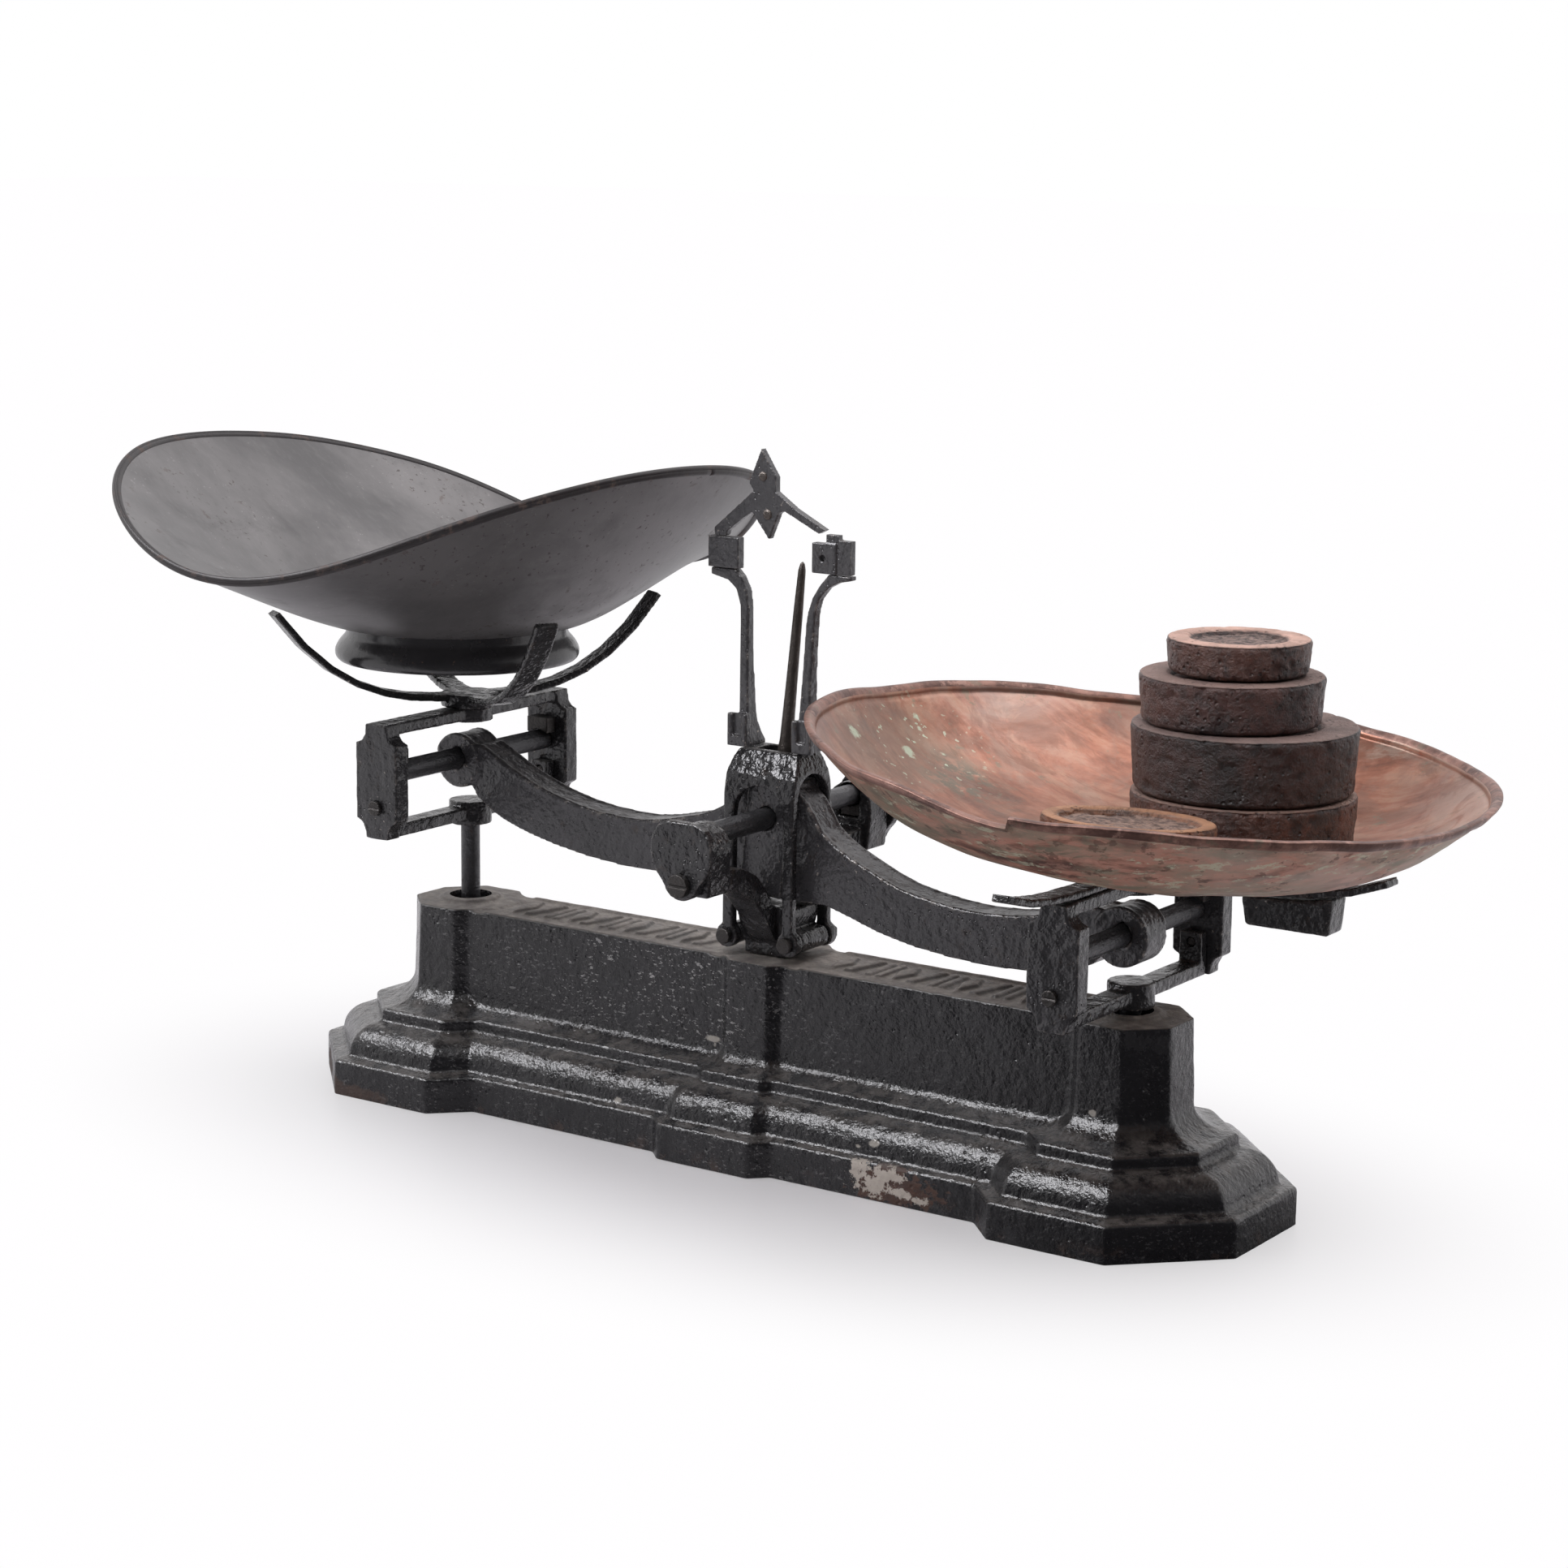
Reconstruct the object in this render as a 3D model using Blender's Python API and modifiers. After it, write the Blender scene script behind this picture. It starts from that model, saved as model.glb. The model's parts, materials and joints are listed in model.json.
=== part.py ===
"""Equal arm counter scale: cast-iron base, bowed beam on knife edges, two carriers
steadied by a hidden stay, a goods scoop on the left, a weights pan and loose iron
weights on the right.

+Z up.  Origin: centre of the base's underside.  +X is the weights side (right),
-Y is the front.  The beam is drawn with the weights side down.
All lengths are in millimetres; the helpers turn them into Blender's metres.
"""
import bpy
import bmesh
import math
from mathutils import Vector, Matrix

MM = 0.001
GAP = 0.3                          # clearance between neighbouring pieces

# ---------------------------------------------------------------- driving sizes
ARM = 157.7                        # knife edge to knife edge, one arm
TILT = math.radians(5.35)          # beam tilt, weights side down
END_X = ARM * math.cos(TILT)       # carriers' distance from the centre
END_DZ = ARM * math.sin(TILT)      # rise or fall of an end knife edge
PIVOT_Z = 126.5                    # centre knife edge
STAY_Z = 30.0                      # centre of the stay
BASE_TOP = 76.1
FRAME_TOP = 157.5                  # top of the left carrier frame
FRONT_BACK = ((-1, "front"), (1, "back"))      # sign along Y
LEFT_RIGHT = ((-1, "left"), (1, "right"))      # sign along X

# ---------------------------------------------------------------- scene set-up
for old in list(bpy.data.objects):
    bpy.data.objects.remove(old, do_unlink=True)

PARTS = bpy.data.collections.new("equal_arm_balance_scale")
CUTTERS = bpy.data.collections.new("cutters")
bpy.context.scene.collection.children.link(PARTS)
bpy.context.scene.collection.children.link(CUTTERS)


def material(name, colour, roughness, metallic):
    mat = bpy.data.materials.new(name)
    mat.use_nodes = True
    shader = mat.node_tree.nodes["Principled BSDF"]
    shader.inputs["Base Color"].default_value = (*colour, 1.0)
    shader.inputs["Roughness"].default_value = roughness
    shader.inputs["Metallic"].default_value = metallic
    mat.diffuse_color = (*colour, 1.0)
    return mat


PAINT = material("gloss_black_paint", colour=(0.012, 0.012, 0.013), roughness=0.22, metallic=0.0)
IRON = material("satin_black_iron", colour=(0.022, 0.022, 0.024), roughness=0.38, metallic=0.35)
STEEL = material("dark_steel", colour=(0.060, 0.057, 0.055), roughness=0.36, metallic=0.85)
TIN = material("black_tin", colour=(0.050, 0.050, 0.052), roughness=0.42, metallic=0.25)
COPPER = material("worn_copper", colour=(0.42, 0.20, 0.14), roughness=0.40, metallic=0.85)
RUST = material("rusted_iron", colour=(0.085, 0.045, 0.035), roughness=0.80, metallic=0.25)


# ---------------------------------------------------------------- outlines
def arc(cx, cy, radius, start, end, count):
    """Points on an arc, angles in degrees."""
    angles = [math.radians(start + (end - start) * i / count) for i in range(count + 1)]
    return [(cx + radius * math.cos(a), cy + radius * math.sin(a)) for a in angles]


def shift(points, du, dv):
    return [(u + du, v + dv) for u, v in points]


def mirrored(half):
    """The half outline followed by its mirror image, run backwards."""
    return half + [(-u, v) for u, v in reversed(half)]


# ---------------------------------------------------------------- solids
def link(ob, mat=None):
    PARTS.objects.link(ob)
    if mat is not None:
        ob.data.materials.append(mat)
    return ob


def from_bmesh(name, bm, mat):
    bmesh.ops.recalc_face_normals(bm, faces=bm.faces)
    mesh = bpy.data.meshes.new(name)
    bm.to_mesh(mesh)
    bm.free()
    return link(bpy.data.objects.new(name, mesh), mat)


def box(name, corner, opposite, mat=None):
    """Axis-aligned box between two opposite corners, in any order."""
    bm = bmesh.new()
    bmesh.ops.create_cube(bm, size=1.0)
    size = [abs(b - a) for a, b in zip(corner, opposite)]
    centre = [(a + b) / 2 for a, b in zip(corner, opposite)]
    for v in bm.verts:
        v.co = Vector([c * s for c, s in zip(v.co, size)]) * MM
    bmesh.ops.translate(bm, vec=Vector(centre) * MM, verts=bm.verts)
    return from_bmesh(name, bm, mat)


def rod(name, radius, start, end, axis, at, mat=None, seg=16, end_radius=None):
    """Cylinder or cone along Y or Z; at gives the other two coordinates."""
    bm = bmesh.new()
    bmesh.ops.create_cone(bm, cap_ends=True, cap_tris=False, segments=seg, radius1=radius * MM,
                          radius2=(radius if end_radius is None else end_radius) * MM,
                          depth=abs(end - start) * MM)
    middle = (start + end) / 2
    if axis == "Y":
        quarter = Matrix.Rotation(math.radians(90), 3, "X")
        bmesh.ops.rotate(bm, cent=(0, 0, 0), matrix=quarter, verts=bm.verts)
        place = (at[0], middle, at[1])
    else:
        place = (at[0], at[1], middle)
    bmesh.ops.translate(bm, vec=Vector(place) * MM, verts=bm.verts)
    return from_bmesh(name, bm, mat)


def settle(ob, mat):
    """Replace a curve or modified object with its evaluated shape as a plain mesh."""
    bpy.context.view_layer.update()
    depsgraph = bpy.context.evaluated_depsgraph_get()
    depsgraph.update()
    mesh = bpy.data.meshes.new_from_object(ob.evaluated_get(depsgraph))
    name = ob.name
    bpy.data.objects.remove(ob, do_unlink=True)
    bm = bmesh.new()
    bm.from_mesh(mesh)
    bmesh.ops.remove_doubles(bm, verts=bm.verts, dist=1e-6)
    bmesh.ops.recalc_face_normals(bm, faces=bm.faces)
    bm.to_mesh(mesh)
    bm.free()
    mesh.name = name
    mesh.materials.clear()
    return link(bpy.data.objects.new(name, mesh), mat)


PLANES = {"XZ": Matrix(((1, 0, 0), (0, 0, -1), (0, 1, 0))),
          "YZ": Matrix(((0, 0, 1), (1, 0, 0), (0, 1, 0)))}


def outline(name, points, start, end, plane, mat=None, turn=None):
    """A flat outline, thick from start to end along the third axis."""
    curve = bpy.data.curves.new(name, "CURVE")
    curve.dimensions = "2D"
    curve.fill_mode = "BOTH"
    spline = curve.splines.new("POLY")
    spline.points.add(len(points) - 1)
    for point, (u, v) in zip(spline.points, points):
        point.co = (u * MM, v * MM, 0.0, 1.0)
    spline.use_cyclic_u = True
    curve.extrude = abs(end - start) / 2 * MM
    ob = settle(link(bpy.data.objects.new(name, curve), mat), mat)
    middle = (start + end) / 2 * MM
    offset = (0, middle, 0) if plane == "XZ" else (middle, 0, 0)
    matrix = Matrix.Translation(offset) @ PLANES[plane].to_4x4()
    if turn is not None:
        matrix = turn @ matrix
    ob.data.transform(matrix)
    return ob


def soften(ob):
    """Smooth shading that keeps edges over 40 degrees sharp."""
    ob.data.shade_smooth()
    ob.data.set_sharp_from_angle(angle=math.radians(40))
    return ob


def turned(name, profile, steps, mat, at=(0, 0), spin=0.0, closed=False, smooth=True):
    """A profile (radius, z) turned about Z, then spun and moved to at (x, y)."""
    count = len(profile)
    edges = [(i, i + 1) for i in range(count - 1)] + ([(count - 1, 0)] if closed else [])
    mesh = bpy.data.meshes.new(name)
    mesh.from_pydata([(r * MM, 0.0, z * MM) for r, z in profile], edges, [])
    ob = link(bpy.data.objects.new(name, mesh), mat)
    screw = ob.modifiers.new("turn", "SCREW")
    screw.axis = "Z"
    screw.angle = math.tau
    screw.steps = screw.render_steps = steps
    screw.use_merge_vertices = True
    screw.merge_threshold = 0.00002
    screw.use_smooth_shade = False
    ob = settle(ob, mat)
    move = Matrix.Translation((at[0] * MM, at[1] * MM, 0))
    ob.data.transform(move @ Matrix.Rotation(spin, 4, "Z"))
    return soften(ob) if smooth else ob


def shell(name, rings, thickness, mat):
    """An open surface of rings (the first is a single centre point), thickened
    towards its upper side."""
    bm = bmesh.new()
    centre = bm.verts.new(rings[0][0] * MM)
    loops = [[bm.verts.new(point * MM) for point in ring] for ring in rings[1:]]
    count = len(loops[0])
    for j in range(count):
        bm.faces.new((centre, loops[0][j], loops[0][(j + 1) % count]))
    for inner, outer in zip(loops, loops[1:]):
        for j in range(count):
            k = (j + 1) % count
            bm.faces.new((inner[j], outer[j], outer[k], inner[k]))
    mesh = bpy.data.meshes.new(name)
    bm.to_mesh(mesh)
    bm.free()
    ob = link(bpy.data.objects.new(name, mesh), mat)
    sheet = ob.modifiers.new("sheet", "SOLIDIFY")
    sheet.thickness = thickness * MM
    sheet.offset = 1.0
    sheet.use_even_offset = True
    ob.data.shade_smooth()


# ---------------------------------------------------------------- booleans
MANIFOLD_PIECES = ("base_casting", "hollow_core")      # the rest use the exact solver


def cut(ob, other, operation="DIFFERENCE"):
    """Apply other to ob as a boolean; other becomes a hidden helper."""
    PARTS.objects.unlink(other)
    CUTTERS.objects.link(other)
    other.hide_render = True
    other.display_type = "WIRE"
    boolean = ob.modifiers.new(operation.lower() + "_" + other.name, "BOOLEAN")
    boolean.operation = operation
    boolean.solver = "MANIFOLD" if ob.name in MANIFOLD_PIECES else "EXACT"
    boolean.object = other


def join(ob, other):
    cut(ob, other, "UNION")


def tilt_about(z):
    """The beam's tilt in the XZ plane about (0, z); it lowers +X."""
    return (Matrix.Translation((0, 0, z * MM)) @ Matrix.Rotation(TILT, 4, "Y")
            @ Matrix.Translation((0, 0, -z * MM)))


BEAM_TURN = tilt_about(PIVOT_Z)
STAY_TURN = tilt_about(STAY_Z)

# ---------------------------------------------------------------- base casting
WALL_T = 5.0                       # wall of the hollow casting
STEM_HOLE_R = 9.0
LOW = -4.0                         # the casting is built down to here, then trimmed at z = 0
FILLET_TOP, FILLET_LOW = 32.5, 28.2
OVOLO_TOP, OVOLO_H = 27.6, 12.4

# Half widths from the top down, and the height where the cavetto starts
END_PEDESTAL = dict(top=21.8, neck=22.8, fillet=38.6, ovolo=52.6, plinth=58.9, cove=44.0)
MID_PEDESTAL = dict(top=22.2, neck=22.8, fillet=33.0, ovolo=46.0, plinth=51.8, cove=40.5)
WALL = dict(top=17.7, neck=18.9, fillet=29.1, ovolo=41.6, plinth=45.3, cove=38.5, z_top=75.7)
PEDESTALS = (("l", -END_X, END_PEDESTAL), ("r", END_X, END_PEDESTAL), ("m", 0.0, MID_PEDESTAL))


def moulding(top, neck, fillet, ovolo, plinth, cove, z_low, z_top=BASE_TOP, inset=0.0):
    """Profile (half width, z): shaft, cavetto, fillet, ovolo, step, plinth.
    The inset profile follows it inside."""
    points = [(top, z_top), (neck, cove)]
    for i in range(1, 5):
        a = math.radians(90 * i / 5)
        points.append((neck + (fillet - neck) * (1 - math.cos(a)),
                       cove - (cove - FILLET_TOP) * math.sin(a)))
    lip = fillet + 2.2
    points += [(fillet, FILLET_TOP), (fillet, FILLET_LOW), (lip, OVOLO_TOP)]
    for i in range(1, 5):
        a = math.radians(90 * i / 4)
        points.append((lip + (ovolo - lip) * math.sin(a),
                       OVOLO_TOP - OVOLO_H * (1 - math.cos(a))))
    points += [(plinth - 0.8, 14.4), (plinth, 13.4), (plinth, z_low)]
    return [(r - inset, max(z - inset, z_low)) for r, z in points]


def moulded_body(name, prefix, wall_low, pedestal_low, inset=0.0):
    """The long wall with its three octagonal pedestals."""
    profile = moulding(**WALL, z_low=wall_low, inset=inset)
    body = outline(name, mirrored(profile), -END_X, END_X, "YZ", PAINT)
    half_facet = math.pi / 8
    to_corner = 1.0 / math.cos(half_facet)
    for tag, x, sizes in PEDESTALS:
        profile = moulding(**sizes, z_low=pedestal_low, inset=inset)
        points = [(r * to_corner, z) for r, z in profile]
        points = [(0.0, profile[0][1])] + points + [(0.0, profile[-1][1])]
        join(body, turned(prefix + tag, points, 8, PAINT, at=(x, 0), spin=half_facet,
                          smooth=False))
    return body


def build_base():
    base = moulded_body("base_casting", "pedestal_", LOW, LOW - 1.0)
    for tag, x, _ in PEDESTALS[:2]:
        join(base, rod("stem_ring_" + tag, 12.2, 74.0, 77.5, "Z", (x, 0), PAINT, seg=24))
    cut(base, moulded_body("hollow_core", "hollow_", LOW - 3.0, LOW - 4.0, inset=WALL_T))
    join(base, box("cross_tie", (-7, -48, LOW + 1.0), (7, 48, 8), PAINT))
    for i, s in enumerate((-1, 1)):
        join(base, box(f"stay_lug_{i}", (-6, s * 9, 23), (6, s * 13, 73), PAINT))
        cut(base, rod(f"stem_hole_{i}", STEM_HOLE_R, 60, 90, "Z", (s * END_X, 0), seg=24))
    cut(base, box("base_trim", (-300, -100, -30), (300, 100, 0)))
    cut(base, rod("stay_pin_hole", 3.4, -20, 20, "Y", (0, STAY_Z)))
    soften(rod("stay_pin", 3.0, -15, 15, "Y", (0, STAY_Z), STEEL))


# ---------------------------------------------------------------- centre pillar
LEG_X, LEG_Z = 14.4, 83.6          # pinned joints between pillar and cage
LEG_BORE_R = 2.0

# (x, z)
PILLAR = [(-9.8, 76.5), (9.8, 76.5), (9.8, 80.0), (9.4, 82.0), (12.2, 88.0), (13.6, 93.0),
          (13.6, 96.6), (-13.6, 96.6), (-13.6, 93.0), (-12.2, 88.0), (-9.4, 82.0), (-9.8, 80.0)]
# (distance from the centre along Y, z): upper edge outwards, lower edge back
GOOSENECK = [(2, 95.5), (10, 96.4), (13.5, 98.6), (18, 105.0), (25, 112.0), (35, 116.5),
             (49, 118.5),
             (49, 110.0), (37, 107.5), (27, 102.0), (19, 93.5), (13, 84.5), (9, 81.0), (2, 81.0)]
# (x, z)
BEARING_HOUSE = arc(0, 126.0, 10.8, 0, 180, 8) + [(-9.2, 109.5), (9.2, 109.5)]
KEYHOLE = arc(0, 131.1, 5.4, -25, 205, 9) + [(-4.9, 122.3), (4.9, 122.3)]
CENTRE_BEARING = [(-4.5, 122.7), (4.5, 122.7), (4.5, 128.2), (0, 126.15), (-4.5, 128.2)]
BEARING_CAP = (arc(0, 127.2, 14.3, -38, 42, 5) + [(6.8, 138.6), (-6.8, 138.6)]
               + arc(0, 127.2, 14.3, 138, 218, 5) + arc(0, 116.6, 8.2, 195, 345, 7))


def build_pillar():
    pillar = outline("centre_pillar", PILLAR, -10.0, 7.2, "XZ", IRON)
    for i, (s, tag) in enumerate(FRONT_BACK):
        neck = [(s * y, z) for y, z in GOOSENECK]
        join(pillar, outline("gooseneck_" + tag, neck, -6.2, 6.2, "YZ", IRON))
        join(pillar, outline("bearing_house_" + tag, BEARING_HOUSE, s * 48.0, s * 61.6, "XZ", IRON))
        cut(pillar, outline("knife_slot_" + tag, KEYHOLE, s * 44.0, s * 58.6, "XZ"))
        # the barrels lie left and right, not front and back
        join(pillar, rod(f"leg_barrel_{i}", 4.4, -11.2, 7.4, "Y", (s * LEG_X, LEG_Z), IRON, seg=12))
    join(pillar, box("barrel_web", (-LEG_X, -6.5, 80.6), (LEG_X, 6.5, 86.4), IRON))
    for i, s in enumerate((-1, 1)):
        cut(pillar, rod(f"barrel_bore_{i}", LEG_BORE_R, -14, 14, "Y", (s * LEG_X, LEG_Z), seg=10))


def build_centre_bearings():
    for s, tag in FRONT_BACK:
        outline("centre_bearing_" + tag, CENTRE_BEARING, s * 49.2, s * 58.2, "XZ", STEEL)
        outline("bearing_cap_" + tag, BEARING_CAP, s * 62.0, s * 66.6, "XZ", IRON)
        screw_z = 114.6
        screw = rod("cap_screw_" + tag, 4.6, s * 66.9, s * 69.6, "Y", (0.4, screw_z), STEEL, seg=14)
        cut(screw, box("cap_slot_" + tag, (-6, s * 68.7, screw_z - 0.5), (7, s * 71, screw_z + 0.5)))


# ---------------------------------------------------------------- cage and uprights
CAGE_FRONT, CAGE_BACK = -16.2, 12.2                    # faces low down, along Y
# (x, z)
CAGE = [(-16.4, 86.0), (16.4, 86.0), (16.4, 149.0), (15.2, 154.0), (13.6, 157.5),
        (-13.6, 157.5), (-15.2, 154.0), (-16.4, 149.0)]
# (y, z)
CAGE_SIDE = [(CAGE_FRONT, 80.0), (CAGE_BACK, 80.0), (CAGE_BACK - 0.6, 136.0), (10.4, 146.0),
             (7.6, 153.6), (6.4, 157.5), (6.4, 162.0), (-9.2, 162.0), (-9.2, 157.5),
             (-11.0, 154.6), (-14.4, 148.0), (-15.9, 140.0)]
FRONT_WINDOW = [(-11.6, 70), (11.6, 70)] + arc(0, 133.0, 11.6, 0, 180, 10)      # (x, z)
SIDE_WINDOW = [(-12.2, 70), (8.4, 70)] + arc(-1.9, 139.0, 10.3, 0, 180, 10)     # (y, z)

# (x, z), front view
UPRIGHTS = {
    "left": [(-15.6, 157.8), (-15.2, 171.0), (-15.0, 208.0), (-15.2, 213.0), (-17.1, 219.2),
             (-21.0, 222.3), (-29.1, 224.1), (-29.1, 226.8), (-17.4, 226.8), (-14.6, 224.0),
             (-12.2, 219.0), (-11.3, 212.0), (-11.3, 190.0), (-11.0, 171.0), (-10.4, 157.8)],
    "right": [(11.6, 157.8), (12.8, 171.0), (14.3, 189.0), (15.6, 208.0), (16.4, 213.0),
              (18.4, 218.8), (21.4, 223.4), (25.6, 228.2), (29.6, 228.2), (36.0, 228.2),
              (36.0, 226.6), (30.0, 225.4), (25.4, 223.0), (21.4, 218.4), (19.9, 213.6),
              (19.4, 208.0), (18.3, 189.0), (17.6, 171.0), (17.4, 157.8)]}
# (y, z), side view of both
UPRIGHT_SIDE = [(-7.6, 150.0), (4.6, 150.0), (4.2, 159.4), (1.4, 163.0), (-0.6, 167.0),
                (-1.6, 172.0), (-3.0, 190.0), (-3.5, 210.0), (-3.7, 232.0), (-7.6, 232.0)]
LUG_IN, LUG_OUT = 10.6, 19.6                           # upright lugs, along X
# (x, z)
FINIAL = [(-5.6, 274.1), (1.4, 263.7), (1.2, 258.2), (9.8, 252.4), (24.2, 245.1), (21.1, 243.5),
          (5.2, 250.9), (2.6, 249.9), (2.1, 248.4), (-1.7, 239.5), (-9.7, 249.6), (-13.6, 247.2),
          (-21.3, 241.5), (-21.7, 239.6), (-27.2, 239.6), (-27.6, 242.3), (-9.1, 257.9),
          (-11.2, 260.9)]


def build_cage():
    cage = outline("cage", CAGE, CAGE_FRONT, CAGE_BACK, "XZ", IRON)
    cut(cage, outline("cage_profile", CAGE_SIDE, -25, 25, "YZ"), "INTERSECT")
    cut(cage, box("cage_inside", (-12.2, -11.8, 80.0), (12.2, 8.0, 150.0)))
    cut(cage, outline("front_window", FRONT_WINDOW, -25, 25, "XZ"))
    cut(cage, outline("side_window", SIDE_WINDOW, -25, 25, "YZ"))
    cut(cage, box("collar_opening", (-8.6, -5.6, 145.0), (9.4, 4.6, 160.0)))
    for i, s in enumerate((-1, 1)):
        at = (s * LEG_X, LEG_Z)
        for y0, y1, end in ((CAGE_FRONT, -11.6, "f"), (7.8, CAGE_BACK, "b")):
            tag = f"{i}{end}"
            join(cage, rod("leg_eye_" + tag, 4.9, y0, y1, "Y", at, IRON, seg=14))
            cut(cage, rod("leg_bore_" + tag, LEG_BORE_R, y0 - 2, y1 + 2, "Y", at, seg=10))


def build_cage_pins():
    for s, tag in LEFT_RIGHT:
        at = (s * LEG_X, LEG_Z)
        pin = rod("cage_pin_" + tag, 1.6, -18.6, 14.6, "Y", at, STEEL, seg=10)
        join(pin, rod("pin_head_f_" + tag, 3.2, -18.8, -16.5, "Y", at, STEEL, seg=12))
        join(pin, rod("pin_head_b_" + tag, 3.4, 12.5, 15.2, "Y", at, STEEL, seg=6))


def build_uprights():
    lug_x = (LUG_IN + LUG_OUT) / 2
    for s, tag in LEFT_RIGHT:
        upright = outline("upright_" + tag, UPRIGHTS[tag], -7.6, 4.6, "XZ", IRON)
        cut(upright, outline("upright_depth_" + tag, UPRIGHT_SIDE, -45, 45, "YZ"), "INTERSECT")
        join(upright, box("upright_lug_" + tag, (s * LUG_IN, -9.4, 156.0),
                          (s * LUG_OUT, -6.4, 170.6), IRON))
        cut(upright, box("lug_recess_" + tag, (s * lug_x - 2.0, -10, 162.0),
                         (s * lug_x + 2.0, -8.0, 172)))
        cut(upright, box("lug_heel_" + tag, (s * (LUG_IN - 1), -10.0, 150),
                         (s * (LUG_OUT + 1), 9, FRAME_TOP + GAP)))


def build_heads():
    """The blocks on top of the uprights and the finial above them."""
    box("head_block_left", (-29.8, -8.6, 227.1), (-15.5, -4.5, 239.2), IRON)
    head = box("head_block_right", (18.6, -8.6, 228.5), (29.6, -4.9, 240.2), IRON)
    join(head, box("head_wall", (29.0, -8.0, 228.5), (36.0, -4.5, 241.6), IRON))
    join(head, box("head_stub", (24.8, -8.0, 239.5), (30.4, -5.0, 243.6), IRON))
    cut(head, box("head_groove", (29.6, -9.0, 220), (30.3, -7.4, 250)))
    cut(head, rod("head_pin_hole", 1.3, -12, -6.5, "Y", (23.4, 234.4), seg=10))
    outline("finial", FINIAL, -8.0, -4.8, "XZ", IRON)


# ---------------------------------------------------------------- beam
BEAM_T = 14.0
EYE_X = 157.3                      # centre of the round beam ends
# Right half, level, (x, z) from the centre knife edge
BEAM_TOP = [(6.0, 19.6), (9.4, 19.2), (11.4, 16.5), (15.5, 13.2), (19.0, 9.2), (23.0, 4.0),
            (28.0, 0.6), (34.0, -2.2), (42.0, -5.0), (52.0, -8.2), (62.0, -10.6), (72.0, -11.6),
            (84.0, -12.0), (96.0, -11.4), (108.0, -9.8), (120.0, -7.0), (130.0, -3.8),
            (139.0, -0.2), (146.0, 2.6)]
BEAM_LOW = [(146.5, -19.0), (139.0, -23.2), (130.0, -26.2), (118.0, -28.6), (104.0, -30.4),
            (88.0, -31.4), (70.0, -31.2), (54.0, -29.6), (40.0, -26.8), (28.0, -24.6),
            (14.0, -26.4), (10.0, -27.0)]
# Pointer: (radius, height above its datum)
NEEDLE = [(0.0, 104.4), (0.9, 103.6), (1.5, 101.0), (1.9, 86.0), (2.3, 56.0), (2.7, 34.0),
          (3.6, 26.0), (4.6, 22.0), (4.6, 20.6), (0.0, 20.6)]


def knife_section(radius, drop, up, grow=0.0):
    """Teardrop bar section with its edge at the origin; drop is edge to bar centre."""
    s = -1 if up else 1
    start = 140 if up else -40
    return arc(0, s * drop, radius + grow, start, start + 260, 9) + [(0, -s * grow * 1.6)]


def knife(name, beam, x, radius, drop, up, half_length):
    """A knife and its slightly larger slot through the beam."""
    section = shift(knife_section(radius, drop, up), x, PIVOT_Z)
    outline(name, section, -half_length, half_length, "XZ", STEEL, turn=BEAM_TURN)
    section = shift(knife_section(radius, drop, up, grow=0.35), x, PIVOT_Z)
    cut(beam, outline(name + "_slot", section, -20, 20, "XZ", turn=BEAM_TURN))


def build_beam():
    half = BEAM_TOP + arc(EYE_X, -5.5, 10.0, 128, -128, 8) + BEAM_LOW
    beam = outline("beam", shift(mirrored(half), 0, PIVOT_Z), -BEAM_T / 2, BEAM_T / 2, "XZ", IRON,
                   turn=BEAM_TURN)
    hub = box("beam_hub", (-9.8, -10.8, PIVOT_Z - 26.0), (9.8, 7.2, PIVOT_Z + 20.0), IRON)
    hub.data.transform(BEAM_TURN)
    join(beam, hub)
    for s, tag in ((-1, "l"), (1, "r")):
        boss = rod("eye_boss_" + tag, 11.3, -8.2, 7.6, "Y", (s * EYE_X, PIVOT_Z - 5.9), IRON,
                   seg=28)
        boss.data.transform(BEAM_TURN)
        join(beam, boss)
    knife("centre_knife", beam, 0.0, radius=4.3, drop=4.9, up=False, half_length=57.8)
    for s, tag in LEFT_RIGHT:
        knife(tag + "_knife", beam, s * ARM, radius=4.0, drop=5.3, up=True, half_length=50.2)


def build_pointer():
    pointer = turned("pointer", shift(NEEDLE, 0, PIVOT_Z + 0.75), 12, STEEL, at=(-1.0, 0))
    pointer.data.transform(BEAM_TURN)


# ---------------------------------------------------------------- stay
def build_stay():
    """A flat link with a round eye at the centre and at each end."""
    neck_x, neck_z = ARM - 5.6, 3.6
    points = (arc(0, 0, 7.5, 32, 148, 6) + [(-neck_x, neck_z)]
              + arc(-ARM, 0, 6.2, 50, 310, 10) + [(-neck_x, -neck_z)]
              + arc(0, 0, 7.5, 212, 328, 6) + [(neck_x, -neck_z)]
              + arc(ARM, 0, 6.2, -130, 130, 10) + [(neck_x, neck_z)])
    stay = outline("stay", shift(points, 0, STAY_Z), -1.5, 1.5, "XZ", STEEL, turn=STAY_TURN)
    for i, (x, radius) in enumerate(((0, 3.4), (-ARM, 2.2), (ARM, 2.2))):
        bore = rod(f"stay_bore_{i}", radius, -6, 6, "Y", (x, STAY_Z), seg=14)
        bore.data.transform(STAY_TURN)
        cut(stay, bore)


# ---------------------------------------------------------------- carriers
# Heights are the left carrier's; dz lowers them for the right one.
PLATE_IN, PLATE_OUT = 51.0, 59.0   # end plates, along Y
LUG_FACE = 50.6                    # outer face of the yoke, along Y
STEM_R = 4.0
STEM_TOP = 114.2
YOKE_SCREW_Z = 123.5
YOKE_HOLE_R = 2.0
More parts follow.
